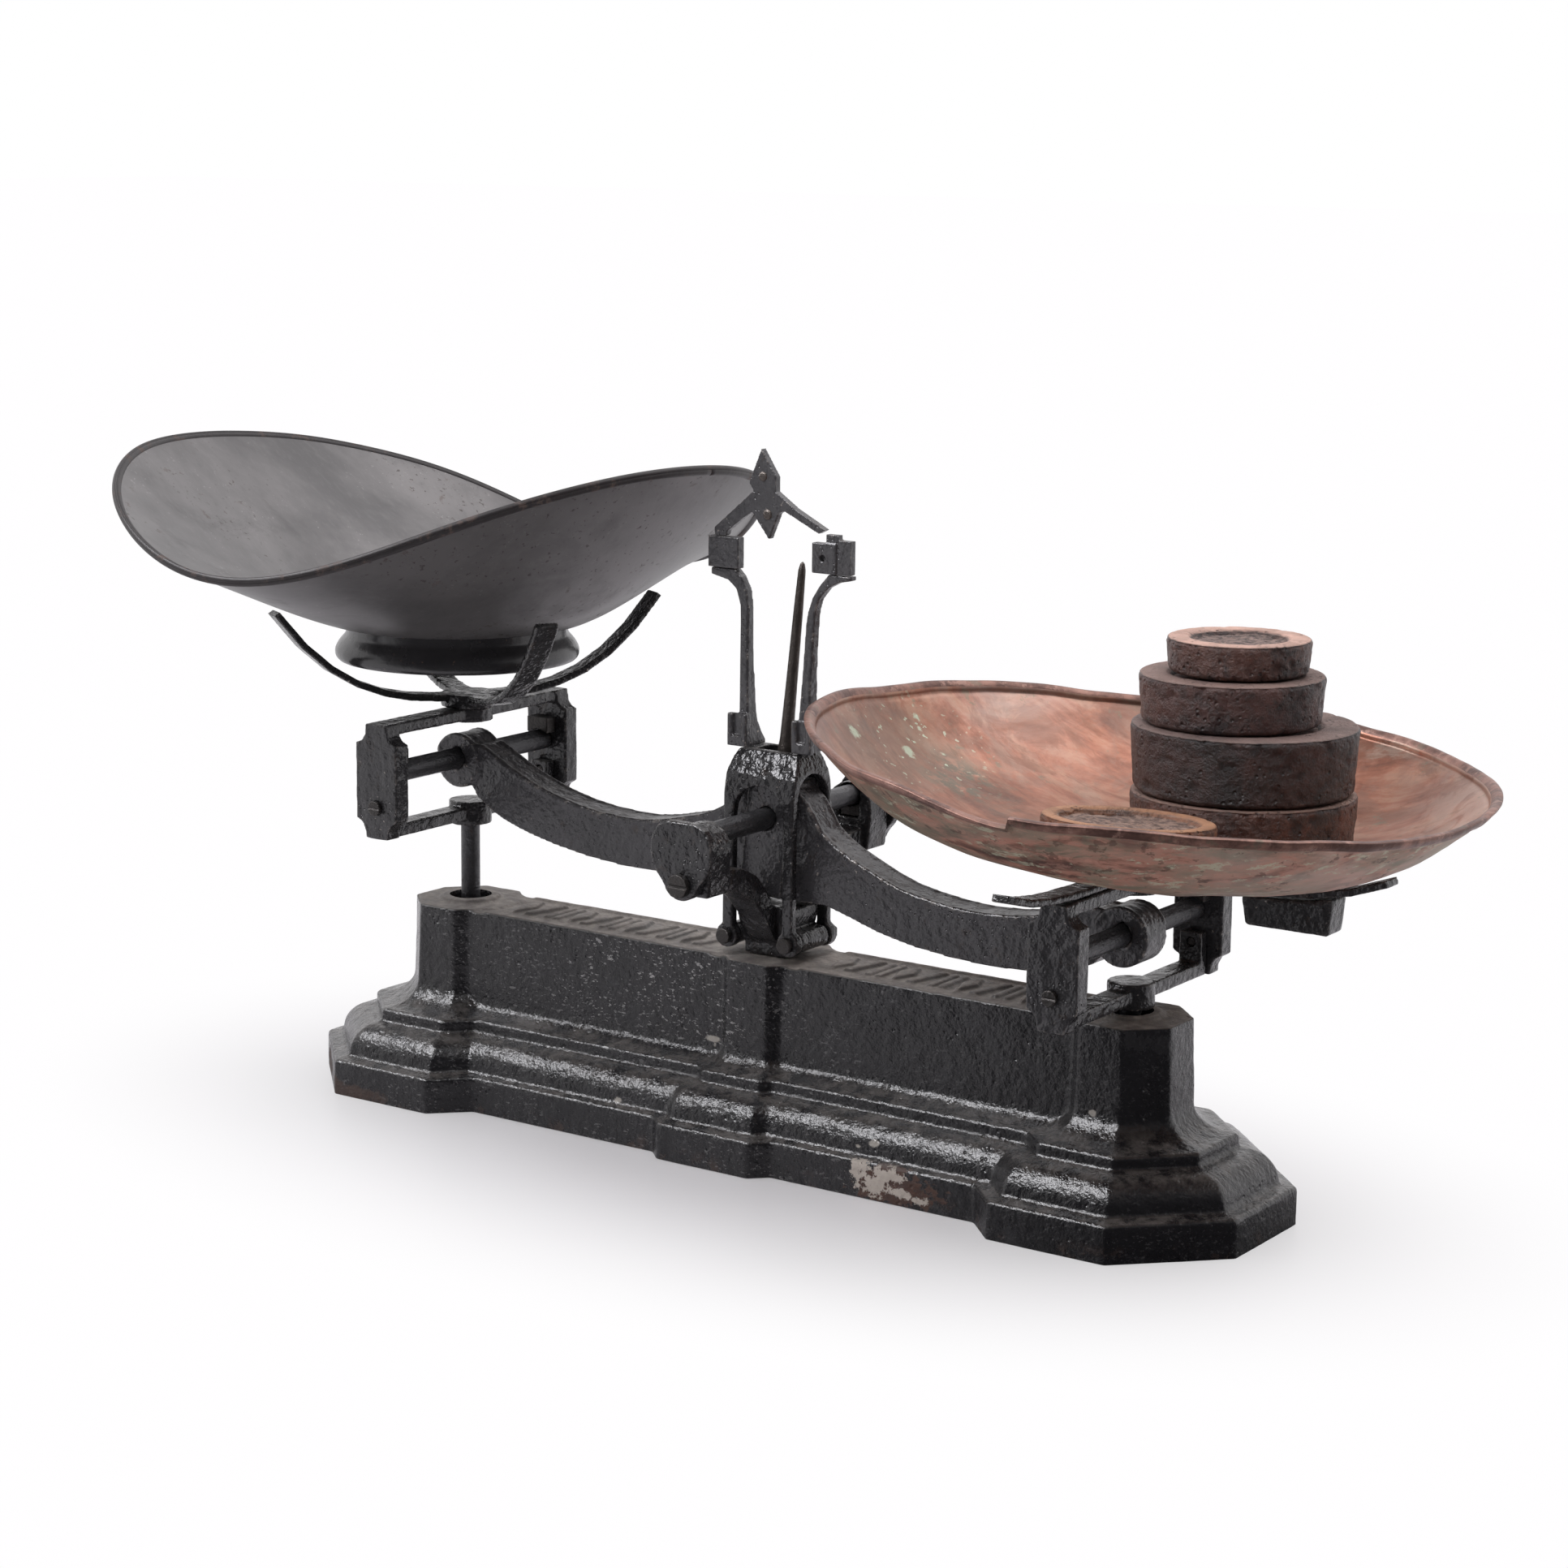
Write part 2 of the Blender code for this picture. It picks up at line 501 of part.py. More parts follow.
# Right half of an end plate, (x, z)
PLATE_HALF = [(5.6, 110.5), (5.9, 113.6), (7.4, 116.6), (10.5, 118.4), (10.5, 149.4),
              (7.6, 150.6), (6.0, 153.0), (5.4, FRAME_TOP)]
# (x, z)
HANGER_BEARING = [(-5.4, 139.6), (0, 141.55), (5.4, 139.6), (5.4, 146.4), (-5.4, 146.4)]


def carrier_frame(side, x, dz):
    plate = shift(mirrored(PLATE_HALF), x, dz)
    top = FRAME_TOP + dz
    frame = box(side + "_carrier_frame", (x - 5.0, -58.0, 152.6 + dz), (x + 5.0, 58.0, top), IRON)
    for i, s in enumerate((-1, 1)):
        join(frame, outline(f"{side}_plate_{i}", plate, s * PLATE_IN, s * PLATE_OUT, "XZ", IRON))
    join(frame, rod(side + "_frame_boss", 9.6, 151.6 + dz, top, "Z", (x, 0), IRON, seg=20))
    for s, end in FRONT_BACK:
        cut(frame, rod(f"{side}_plate_hole_{end}", YOKE_HOLE_R, s * 49, s * 61, "Y",
                       (x, YOKE_SCREW_Z + dz), seg=10))


def carrier_yoke(side, x, dz):
    yoke = box(side + "_carrier_yoke", (x - 4.6, -LUG_FACE, 110.6 + dz),
               (x + 4.6, LUG_FACE, 115.8 + dz), IRON)
    join(yoke, rod(side + "_yoke_hub", 9.0, 108.2 + dz, 118.0 + dz, "Z", (x, 0), IRON, seg=20))
    for s, end in FRONT_BACK:
        join(yoke, box(f"{side}_yoke_lug_{end}", (x - 4.6, s * 45.6, 111 + dz),
                       (x + 4.6, s * LUG_FACE, 127.4 + dz), IRON))
        cut(yoke, rod(f"{side}_yoke_tap_{end}", YOKE_HOLE_R, s * 44, s * 52, "Y",
                      (x, YOKE_SCREW_Z + dz), seg=10))
    cut(yoke, rod(side + "_yoke_bore", STEM_R + GAP, 100 + dz, 114.6 + dz, "Z", (x, 0)))


def carrier_fittings(side, x, dz):
    """The yoke screws and the vee bearings over the end knife."""
    z = YOKE_SCREW_Z + dz
    for s, end in FRONT_BACK:
        screw = rod(f"{side}_yoke_screw_{end}", 3.1, s * 59.3, s * 61.0, "Y", (x, z), STEEL,
                    seg=12)
        join(screw, rod(f"{side}_screw_shank_{end}", 1.6, s * 46.4, s * 60.0, "Y", (x, z), STEEL,
                        seg=10))
        cut(screw, box(f"{side}_screw_slot_{end}", (x - 4, s * 60.4, z - 0.4),
                       (x + 4, s * 62, z + 0.4)))
        outline(f"{side}_hanger_bearing_{end}", shift(HANGER_BEARING, x, dz), s * 44.8, s * 50.7,
                "XZ", STEEL)


def carrier_stem(side, x, dz, joint_z):
    """The stem, forked over the stay's end at joint_z, and its pin."""
    stem = rod(side + "_stem", STEM_R, joint_z - 7.0, STEM_TOP + dz, "Z", (x, 0), IRON)
    cut(stem, box(side + "_fork_slot", (x - 8, -1.9, joint_z - 10), (x + 8, 1.9, joint_z + 8.6)))
    cut(stem, rod(side + "_fork_bore", 1.8, -8, 8, "Y", (x, joint_z), seg=10))
    soften(stem)
    rod(side + "_stem_pin", 1.5, -6.0, 6.0, "Y", (x, joint_z), STEEL, seg=10)


def build_carriers():
    for s, side in LEFT_RIGHT:
        x = s * END_X
        dz = -(1 + s) * END_DZ                         # 0 on the left, -2 * END_DZ on the right
        carrier_frame(side, x, dz)
        carrier_yoke(side, x, dz)
        carrier_fittings(side, x, dz)
        carrier_stem(side, x, dz, STAY_Z - s * END_DZ)


# ---------------------------------------------------------------- spiders
SPIDER_W, SPIDER_T = 9.6, 2.8      # width and thickness of an arm
# (direction in degrees from +X, reach)
LEFT_ARMS = ((-29.5, 84.0), (60.5, 82.5), (150.5, 80.0), (240.5, 82.5))
RIGHT_ARMS = ((0, 101.0), (90, 101.0), (180, 101.0), (270, 93.0))


def left_height(r):
    """Top of a left arm at radius r."""
    return 163.2 + 38.2 * (r / 82.5) ** 3.0


def right_height(r):
    """Top of a right arm at radius r."""
    return 131.2 + 10.9 * (r / 104.0) ** 5.0


def spider_arms(spider, side, x, height, arms):
    """Curved flat arms; the underside is offset square to the top."""
    inner, count = 4.0, 7
    for i, (direction, reach) in enumerate(arms):
        radii = [inner + (reach - inner) * j / count for j in range(count + 1)]
        low = []
        for r in reversed(radii):
            slope = height(r + 0.5) - height(r - 0.5)
            length = math.hypot(1, slope)
            low.append((r + SPIDER_T * slope / length, height(r) - SPIDER_T / length))
        turn = (Matrix.Translation((x * MM, 0, 0))
                @ Matrix.Rotation(math.radians(direction), 4, "Z"))
        join(spider, outline(f"{side}_arm_{i}", [(r, height(r)) for r in radii] + low,
                             -SPIDER_W / 2, SPIDER_W / 2, "XZ", IRON, turn=turn))


def build_spiders():
    left = rod("left_spider", 12.0, FRAME_TOP + GAP, 163.2, "Z", (-END_X, 0), IRON, seg=20)
    spider_arms(left, "left", -END_X, left_height, LEFT_ARMS)
    right = rod("right_spider", 12.0, 128.4, 131.2, "Z", (END_X, 0), IRON, seg=20)
    spider_arms(right, "right", END_X, right_height, RIGHT_ARMS)
    join(right, rod("right_spider_boss", 7.0, 130.0, 134.7, "Z", (END_X, 0), IRON,
                    end_radius=5.6))


def build_balance_box():
    """The box under the right spider's +X arm, its top following the arm."""
    top = [(r, right_height(r) - SPIDER_T - 0.4) for r in (82, 73, 64, 55, 46)]
    points = shift([(48.0, 117.6), (80.6, 117.6)] + top, END_X, 0)
    ob = outline("balance_box", points, -6.2, 6.2, "XZ", IRON)
    bevel = ob.modifiers.new("edge", "BEVEL")
    bevel.width = 0.8 * MM
    bevel.segments = 1
    bevel.limit_method = "ANGLE"
    bevel.angle_limit = math.radians(50)


# ---------------------------------------------------------------- weights pan
RIM_POINTS = 36                    # points round the pan and the scoop
PAN_CENTRE = Vector((161.0, 2.0, 173.7))               # centre of the rim
PAN_R, PAN_DEPTH, PAN_T = 127.0, 38.3, 1.3
PAN_POWER = 3.8                    # how flat the bottom stays before it sweeps up
PAN_SLOPE_X, PAN_SLOPE_Y = -0.080, -0.010
PAN_NORMAL = Vector((-PAN_SLOPE_X, -PAN_SLOPE_Y, 1.0)).normalized()
PAN_U = Vector((1.0, 0.0, PAN_SLOPE_X)).normalized()
PAN_V = PAN_NORMAL.cross(PAN_U)
PAN_RINGS = (0.25, 0.45, 0.60, 0.72, 0.82, 0.91, 1.0)  # fractions of the radius
# Dents at the rim: (amount, angle in degrees, angular width in radians)
PAN_DIPS = ((3.0, 120, 0.38), (-0.8, 295, 0.5), (-3.9, 198, 0.36))     # downwards
PAN_BULGES = ((0.5, 208, 0.18), (-1.6, 230, 0.18))                     # outwards


def dents(table, angle):
    return sum(amount * math.exp(-((angle - math.radians(centre)) / width) ** 2)
               for amount, centre, width in table)


def pan_point(fraction, angle):
    edge = fraction ** 5                               # dents fade quickly inwards
    r = PAN_R * fraction + dents(PAN_BULGES, angle) * edge
    height = -PAN_DEPTH + PAN_DEPTH * fraction ** PAN_POWER - dents(PAN_DIPS, angle) * edge
    return (PAN_CENTRE + PAN_U * (r * math.cos(angle)) + PAN_V * (r * math.sin(angle))
            + PAN_NORMAL * height)


def rim_angles():
    return [math.tau * j / RIM_POINTS for j in range(RIM_POINTS)]


def build_pan():
    rings = [[pan_point(f, a) for a in rim_angles()] for f in PAN_RINGS]
    shell("weights_pan", [[pan_point(0, 0)]] + rings, PAN_T, COPPER)


# ---------------------------------------------------------------- scoop
SCOOP_X, SCOOP_Y = -161.0, 1.0     # centre of the rim
SCOOP_A, SCOOP_B = 126.2, 140.3    # rim half sizes along X and Y
SCOOP_T = 1.4
SCOOP_BOTTOM = 191.0
FOOT_X, FOOT_Y = -162.5, -1.0
FLOOR_R = 44.5                     # flat bottom over the foot ring
# (radius, z)
SCOOP_FOOT = [(42.6, 190.0), (44.6, 190.0), (45.6, 187.6), (48.8, 184.6), (50.4, 181.6),
              (50.2, 178.8), (48.6, 177.2), (46.8, 177.6), (47.4, 181.0), (44.0, 185.6)]


def scoop_rim(t):
    """Saddle-shaped rim: high towards +X and -X, low lips at front and back."""
    c, s = math.cos(t), math.sin(t)
    u = SCOOP_A * c - 4.2 * max(0.0, -c) ** 4
    v = SCOOP_B * s * (1 - 0.15 * c)
    z = 214.15 + 74.5 * c * c - 24.9 * c ** 4 + 0.01 * u - 0.07 * v
    return Vector((SCOOP_X + u, SCOOP_Y + v, z))


def scoop_point(t, fraction):
    """Fraction 0 is the edge of the flat bottom, 1 the rim."""
    rim = scoop_rim(t)
    outward = Vector((rim.x - FOOT_X, rim.y - FOOT_Y, 0.0)).normalized()
    start = Vector((FOOT_X, FOOT_Y, SCOOP_BOTTOM)) + outward * FLOOR_R
    point = start.lerp(rim, fraction)
    rise = fraction ** (1.25 + 0.25 * math.cos(t))
    point.z = SCOOP_BOTTOM + (rim.z - SCOOP_BOTTOM) * rise
    return point


def build_scoop():
    centre = Vector((FOOT_X, FOOT_Y, SCOOP_BOTTOM - 0.6))
    near_centre = Vector((FOOT_X, FOOT_Y, SCOOP_BOTTOM - 0.4))
    rings = [[centre], [near_centre.lerp(scoop_point(t, 0), 0.6) for t in rim_angles()]]
    for f in (0.0, 0.2, 0.4, 0.6, 0.8, 1.0):
        rings.append([scoop_point(t, f) for t in rim_angles()])
    shell("scoop", rings, SCOOP_T, TIN)
    turned("scoop_foot", SCOOP_FOOT, 28, TIN, at=(FOOT_X, FOOT_Y), closed=True)


# ---------------------------------------------------------------- weights
STACK_Z = 138.9                    # underside of the stack
# From the bottom up: name, radius, height, x, y
STACK = (("weight_4", 41.5, 22.1, 190.2, 19.0),
         ("weight_3", 41.6, 24.6, 190.0, 18.8),
         ("weight_2", 34.0, 17.9, 185.6, 15.9),
         ("weight_1", 26.5, 12.8, 187.3, 17.1))


def weight(name, radius, height, z, at, recess=0.665, depth=1.4):
    """A disc tapering downwards, recessed on top; recess is a share of the radius."""
    low_r = radius * 0.962
    chamfer = 1.3
    top = z + height
    profile = [(0, top - depth), (radius * recess - 0.5, top - depth),
               (radius * recess + 0.4, top), (radius - chamfer, top), (radius, top - chamfer),
               (low_r, z + chamfer), (low_r - chamfer, z), (0, z)]
    return turned(name, profile, 24, RUST, at=at)


def build_weights():
    z = STACK_Z
    for name, radius, height, x, y in STACK:
        weight(name, radius, height, z, (x, y))
        z += height + GAP
    loose = weight("weight_5", 31.0, 16.6, 0.0, (0, 0), recess=0.80, depth=2.6)
    loose.data.transform(Matrix.Translation(Vector((184.9, -58.9, 146.0)) * MM)
                         @ Matrix.Rotation(math.radians(0.6), 4, "Y")
                         @ Matrix.Rotation(math.radians(-5.0), 4, "X"))


# ---------------------------------------------------------------- joints
CARRIER_PARTS = ("carrier_frame", "carrier_yoke", "stem", "stem_pin", "spider",
                 "yoke_screw_front", "yoke_screw_back",
                 "hanger_bearing_front", "hanger_bearing_back")
LOADS = {"left": ("scoop", "scoop_foot"),
         "right": ("balance_box", "weights_pan", "weight_1", "weight_2", "weight_3",
                   "weight_4", "weight_5")}


def joint(name, x, z):
    empty = bpy.data.objects.new(name, None)
    empty.empty_display_size = 0.02
    empty.location = (x * MM, 0, z * MM)
    return link(empty)


def hang(parent, names):
    """Parent pieces to a joint, keeping their places."""
    for name in names:
        ob = bpy.data.objects[name]
        ob.parent = parent
        ob.matrix_parent_inverse = Matrix.Translation(-Vector(parent.location))


def build_joints():
    beam_axis = joint("beam_axis", 0, PIVOT_Z)
    hang(beam_axis, ("beam", "centre_knife", "left_knife", "right_knife", "pointer"))
    hang(joint("stay_axis", 0, STAY_Z), ("stay",))
    for s, side in LEFT_RIGHT:
        axis = joint(side + "_axis", s * END_X, PIVOT_Z - s * END_DZ)
        hang(beam_axis, (axis.name,))
        hang(axis, [side + "_" + part for part in CARRIER_PARTS])
        hang(axis, LOADS[side])


build_base()
build_pillar()
build_centre_bearings()
build_cage()
build_cage_pins()
build_uprights()
build_heads()
build_beam()
build_pointer()
build_stay()
build_carriers()
build_spiders()
build_balance_box()
build_pan()
build_scoop()
build_weights()
build_joints()
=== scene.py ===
"""Looks of an equal arm balance scale: cast, painted iron over the CAD frame, a tinned
goods scoop, a worn copper pan and rusted iron weights, on a pale studio floor.

The scale stands on z = 0 with its beam along X: scoop at -X, copper pan at +X, front
toward -Y.  Metres, with tables in millimetres where they are multiplied by MM.
"""

import json
import math
from functools import cached_property, reduce

import bmesh
import bpy
from mathutils import Matrix, Vector, noise

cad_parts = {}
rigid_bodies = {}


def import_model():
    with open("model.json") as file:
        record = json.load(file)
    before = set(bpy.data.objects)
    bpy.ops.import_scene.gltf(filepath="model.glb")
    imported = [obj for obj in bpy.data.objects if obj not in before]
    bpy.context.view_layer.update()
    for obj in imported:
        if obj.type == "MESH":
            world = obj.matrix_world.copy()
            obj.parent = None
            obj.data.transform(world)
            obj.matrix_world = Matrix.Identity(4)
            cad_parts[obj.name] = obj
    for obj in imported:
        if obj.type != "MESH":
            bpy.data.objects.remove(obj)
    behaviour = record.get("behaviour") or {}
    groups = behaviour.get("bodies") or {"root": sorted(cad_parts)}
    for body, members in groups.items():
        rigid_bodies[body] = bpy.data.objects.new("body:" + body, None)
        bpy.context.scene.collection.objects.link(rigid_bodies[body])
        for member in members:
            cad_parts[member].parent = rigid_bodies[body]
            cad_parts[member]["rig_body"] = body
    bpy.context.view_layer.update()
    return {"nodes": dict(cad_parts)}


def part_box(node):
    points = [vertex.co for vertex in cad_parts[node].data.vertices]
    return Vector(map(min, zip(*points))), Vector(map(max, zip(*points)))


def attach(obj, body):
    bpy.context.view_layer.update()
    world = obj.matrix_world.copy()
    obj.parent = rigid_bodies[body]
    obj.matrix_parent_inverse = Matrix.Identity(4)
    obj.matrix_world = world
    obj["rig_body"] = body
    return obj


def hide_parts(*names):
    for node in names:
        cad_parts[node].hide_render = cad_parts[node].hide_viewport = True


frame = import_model()
NODES = frame["nodes"]
MM = 0.001
SCENE = bpy.context.scene
LOOKS = bpy.data.collections.new("looks")
SCENE.collection.children.link(LOOKS)

# copper pan: rim centre, rim radius, depth, sheet thickness and curve of its section
PAN_CENTRE = Vector((161.0, 2.0, 173.7)) * MM
PAN_R, PAN_DEPTH, PAN_THICK, PAN_POWER = 127.0 * MM, 38.3 * MM, 1.3 * MM, 3.8
# the pan leans: its axis, and two directions across its rim plane
PAN_AXIS = Vector((0.080, 0.010, 1.0)).normalized()
PAN_U = Vector((1.0, 0.0, -0.080)).normalized()
PAN_V = PAN_AXIS.cross(PAN_U)

# recess radius of the weights as a share of their own
STACK_RECESS, LOOSE_RECESS = 0.665, 0.80


# ================================================================ node trees
class Tree:
    """A short way to write a node tree; values may be numbers, colours or sockets."""

    def __init__(self, tree):
        self.tree = tree
        tree.nodes.clear()

    def put(self, socket, value):
        if hasattr(value, "is_output"):
            self.tree.links.new(value, socket)
        elif isinstance(value, tuple) and len(value) == 3 and socket.type == "RGBA":
            socket.default_value = (*value, 1.0)
        else:
            socket.default_value = value

    def node(self, kind, inputs=(), **settings):
        """Adds a node; inputs is a list in socket order, or a dict."""
        made = self.tree.nodes.new("ShaderNode" + kind)
        for key, value in settings.items():
            setattr(made, key, value)
        pairs = inputs.items() if isinstance(inputs, dict) else enumerate(inputs)
        for key, value in pairs:
            self.put(made.inputs[key], value)
        return made

    def math(self, operation, a, b=0.0, clamp=False):
        return self.node("Math", (a, b), operation=operation, use_clamp=clamp).outputs[0]

    def mul(self, *masks):
        """Clamped product of masks."""
        return reduce(lambda a, b: self.math("MULTIPLY", a, b, clamp=True), masks)

    def most(self, *masks):
        return reduce(lambda a, b: self.math("MAXIMUM", a, b), masks)

    def inverse(self, mask):
        return self.math("SUBTRACT", 1.0, mask)

    def weigh(self, *pairs):
        """Sum of (value, weight) pairs."""
        parts = [self.math("MULTIPLY", value, weight) for value, weight in pairs]
        return reduce(lambda a, b: self.math("ADD", a, b), parts)

    def less(self, value, taken, weight):
        return self.math("SUBTRACT", value, self.math("MULTIPLY", taken, weight))

    def mix(self, fac, a, b):
        """Colour a where fac is 0, colour b where it is 1."""
        return self.node("Mix", {0: fac, 6: a, 7: b}, data_type="RGBA").outputs[2]

    def lerp(self, fac, a, b):
        """Number a where fac is 0, number b where it is 1."""
        return self.node("Mix", {0: fac, 2: a, 3: b}, data_type="FLOAT").outputs[0]

    def step(self, value, lo, hi):
        """0 at lo, 1 at hi, smooth between; lo may be the larger."""
        return self.node("MapRange", (value, lo, hi), interpolation_type="SMOOTHSTEP").outputs[0]

    def vector_math(self, operation, *vectors):
        return self.node("VectorMath", vectors, operation=operation).outputs["Value"]

    def xyz(self, vector):
        return self.node("SeparateXYZ", (vector,)).outputs


class Mat(Tree):
    """A Principled material in object coordinates; col is the colour built so far."""

    def __init__(self, name):
        self.material = bpy.data.materials.new(name)
        self.material.use_nodes = True
        super().__init__(self.material.node_tree)
        self.out = self.node("OutputMaterial")
        self.bsdf = self.node("BsdfPrincipled")
        self.put(self.out.inputs[0], self.bsdf.outputs[0])
        self.co = self.node("TexCoord").outputs["Object"]

    @cached_property
    def geometry(self):
        return self.node("NewGeometry").outputs

    @cached_property
    def point(self):
        """Pointiness: above 0.5 on arrises, below it in creases."""
        return self.geometry["Pointiness"]

    @cached_property
    def facing(self):
        """Z of the surface normal in object axes."""
        turned = self.node("VectorTransform", (self.geometry["Normal"],), vector_type="NORMAL",
                           convert_from="WORLD", convert_to="OBJECT")
        return self.xyz(turned.outputs[0])[2]

    def noise(self, scale, detail=4.0, rough=0.55, warp=0.0, vec=None):
        return self.node("TexNoise", {"Vector": vec or self.co, "Scale": scale, "Detail": detail,
                                      "Roughness": rough, "Distortion": warp}).outputs["Fac"]

    def blots(self, scale, lo, hi, **kw):
        """Noise cut into patches."""
        return self.step(self.noise(scale, **kw), lo, hi)

    def cells(self, scale, lo, hi):
        """Dots at the centres of Voronoi cells."""
        cell = self.node("TexVoronoi", {"Vector": self.co, "Scale": scale})
        return self.step(cell.outputs["Distance"], lo, hi)

    def ramp(self, fac, *stops):
        """Colour ramp; stops are (position, colour)."""
        made = self.node("ValToRGB", (fac,))
        elements = made.color_ramp.elements
        while len(elements) < len(stops):
            elements.new(0.5)
        for element, (position, colour) in zip(elements, stops):
            element.position = position
            element.color = (*colour, 1.0)
        return made.outputs[0]

    def map(self, scale=(1, 1, 1), spin=0, loc=(0, 0, 0)):
        """Object coordinates scaled, turned about Z by spin degrees and moved."""
        return self.node("Mapping", {"Vector": self.co, "Scale": scale, "Location": loc,
                                     "Rotation": (0, 0, math.radians(spin))}).outputs[0]

    def ragged(self, value, wobble, by):
        shift = self.math("MULTIPLY", self.math("SUBTRACT", wobble, 0.5), by)
        return self.math("ADD", value, shift)

    def near(self, at, inner, outer, squash=(1, 1, 1), wobble=None, by=0.0):
        """1 within inner of a point, 0 beyond outer, with an optional ragged edge."""
        loc = [-a * s for a, s in zip(at, squash)]
        away = self.vector_math("LENGTH", self.map(scale=squash, loc=loc))
        if wobble is not None:
            away = self.ragged(away, wobble, by)
        return self.inverse(self.step(away, inner, outer))

    def bump(self, height, strength, dist, under=None):
        """Bump normal, laid over another when given."""
        inputs = {"Strength": strength, "Distance": dist, "Height": height}
        if under is not None:
            inputs["Normal"] = under
        return self.node("Bump", inputs).outputs[0]

    def coat(self, mask, colour, amount=None):
        """Lays a colour over the colour so far."""
        if amount is not None:
            mask = self.mul(mask, amount)
        self.col = self.mix(mask, self.col, colour)

    def finish(self, rough, normal=None, metal=None, specular=None):
        inputs = {"Base Color": self.col, "Roughness": rough, "Normal": normal,
                  "Metallic": metal, "Specular IOR Level": specular}
        for key, value in inputs.items():
            if value is not None:
                self.put(self.bsdf.inputs[key], value)
        return self.material


def scaled(colour, k):
    return tuple(k * v for v in colour)


# ================================================================ gloss paint of the base
# pale blots where paint is lost: place, radius, squash
BLOTS = (
    ((-0.018, -0.019, 0.0415), 0.0016, (0.45, 0.3, 1.2)),
    ((-0.017, -0.0235, 0.04), 0.0014, (1, 0.3, 0.7)),
    ((0.155, -0.0235, 0.043), 0.0013, (0.7, 0.3, 1.0)),
    ((0.072, -0.0405, 0.0205), 0.0013, (0.7, 0.4, 1.0)),
    ((0.065, -0.0412, 0.0185), 0.0008, (0.6, 0.4, 1.0)),
    ((-0.048, -0.042, 0.0165), 0.0012, (0.7, 0.4, 1.0)),
)
# small flakes beside the large one on the plinth: x, z, inner, outer, squash, raggedness
FLAKES = (
    (0.0875, 0.0048, 0.0016, 0.0020, (0.5, 1, 1), 0.010),
    (0.0845, 0.0105, 0.0018, 0.0022, (0.4, 1, 1.2), 0.012),
    (0.0965, 0.0035, 0.0012, 0.0016, (0.4, 1, 1), 0.009),
)
FLAKE_Y = -0.0455


def paint_chips(m, x, z, upright):
    """Small pale chips in drifts, thickest high on the wall left of the middle."""
    wide = m.map(scale=(0.55, 1.0, 1.25))
    large = m.blots(540, detail=3, rough=0.6, vec=wide, lo=0.615, hi=0.64)
    small = m.blots(950, detail=2, rough=0.5, vec=wide, lo=0.64, hi=0.67)
    drift = m.blots(42, detail=6, rough=0.68, lo=0.41, hi=0.53)
    panel = m.mul(m.step(x, lo=0.018, hi=-0.01), m.step(x, lo=-0.11, hi=-0.09),
                  m.step(z, lo=0.03, hi=0.046))
    where = m.most(panel, m.lerp(m.step(x, lo=0.1, hi=0.02), 0.12, 0.4))
    chips = m.mul(m.most(large, m.mul(small, 0.75)), m.mul(drift, where),
                  m.lerp(upright, 0.45, 1.0))
    pale = m.mix(m.noise(300, detail=2), (0.2, 0.195, 0.195), (0.5, 0.49, 0.49))
    m.coat(chips, pale, amount=0.9)
    return chips


def flaked_patch(m, y):
    """Bare primer with a rusty border on the front of the plinth."""
    plinth = m.step(m.math("MULTIPLY", y, -1.0), lo=0.0425, hi=0.0445)
    broad = m.noise(120, detail=6, rough=0.66)
    gaps = m.blots(150, detail=7, rough=0.76, lo=0.445, hi=0.485)
    tooth = m.noise(230, detail=7, rough=0.8)
    large = m.near((0.0735, FLAKE_Y, 0.009), inner=0.0052, outer=0.006, squash=(0.5, 1, 1),
                   wobble=m.weigh((broad, 0.55), (tooth, 0.45)), by=0.03)
    small = [m.near((x, FLAKE_Y, z), inner, outer, squash, wobble=tooth, by=by)
             for x, z, inner, outer, squash, by in FLAKES]
    bare = m.mul(m.most(m.mul(large, gaps), *small), plinth)
    halo = m.near((0.082, FLAKE_Y, 0.0085), inner=0.0062, outer=0.0078, squash=(0.42, 1, 1),
                  wobble=m.noise(120, detail=7, rough=0.76), by=0.034)
    halo = m.mul(halo, plinth)
    brown = m.mix(m.noise(260, detail=4, rough=0.7), (0.022, 0.011, 0.008), (0.14, 0.058, 0.034))
    m.coat(halo, brown, amount=0.9)
    m.coat(bare, m.mix(m.noise(210, detail=5, rough=0.65), (0.42, 0.36, 0.31),
                       (0.74, 0.68, 0.61)))
    return bare, halo


def foot_rust(m, z):
    """Rust along the foot and at the far left corner."""
    foot = m.mul(m.step(z, lo=0.008, hi=0.001),
                 m.blots(70, detail=6, rough=0.7, lo=0.53, hi=0.62))
    low = m.near((-0.18, -0.0585, 0.0015), inner=0.0022, outer=0.0045, squash=(0.16, 0.6, 0.8),
                 wobble=m.noise(110, detail=6, rough=0.7), by=0.013)
    side = m.near((-0.205, -0.038, 0.005), inner=0.003, outer=0.0055, squash=(0.35, 0.35, 0.7),
                  wobble=m.noise(120, detail=6, rough=0.7), by=0.016)
    rust = m.most(m.mul(foot, 0.55), m.most(m.mul(low, 0.8), m.mul(side, 0.8)))
    m.coat(rust, m.mix(m.noise(320, detail=4, rough=0.7), (0.026, 0.015, 0.012),
                       (0.115, 0.064, 0.046)))
    return rust


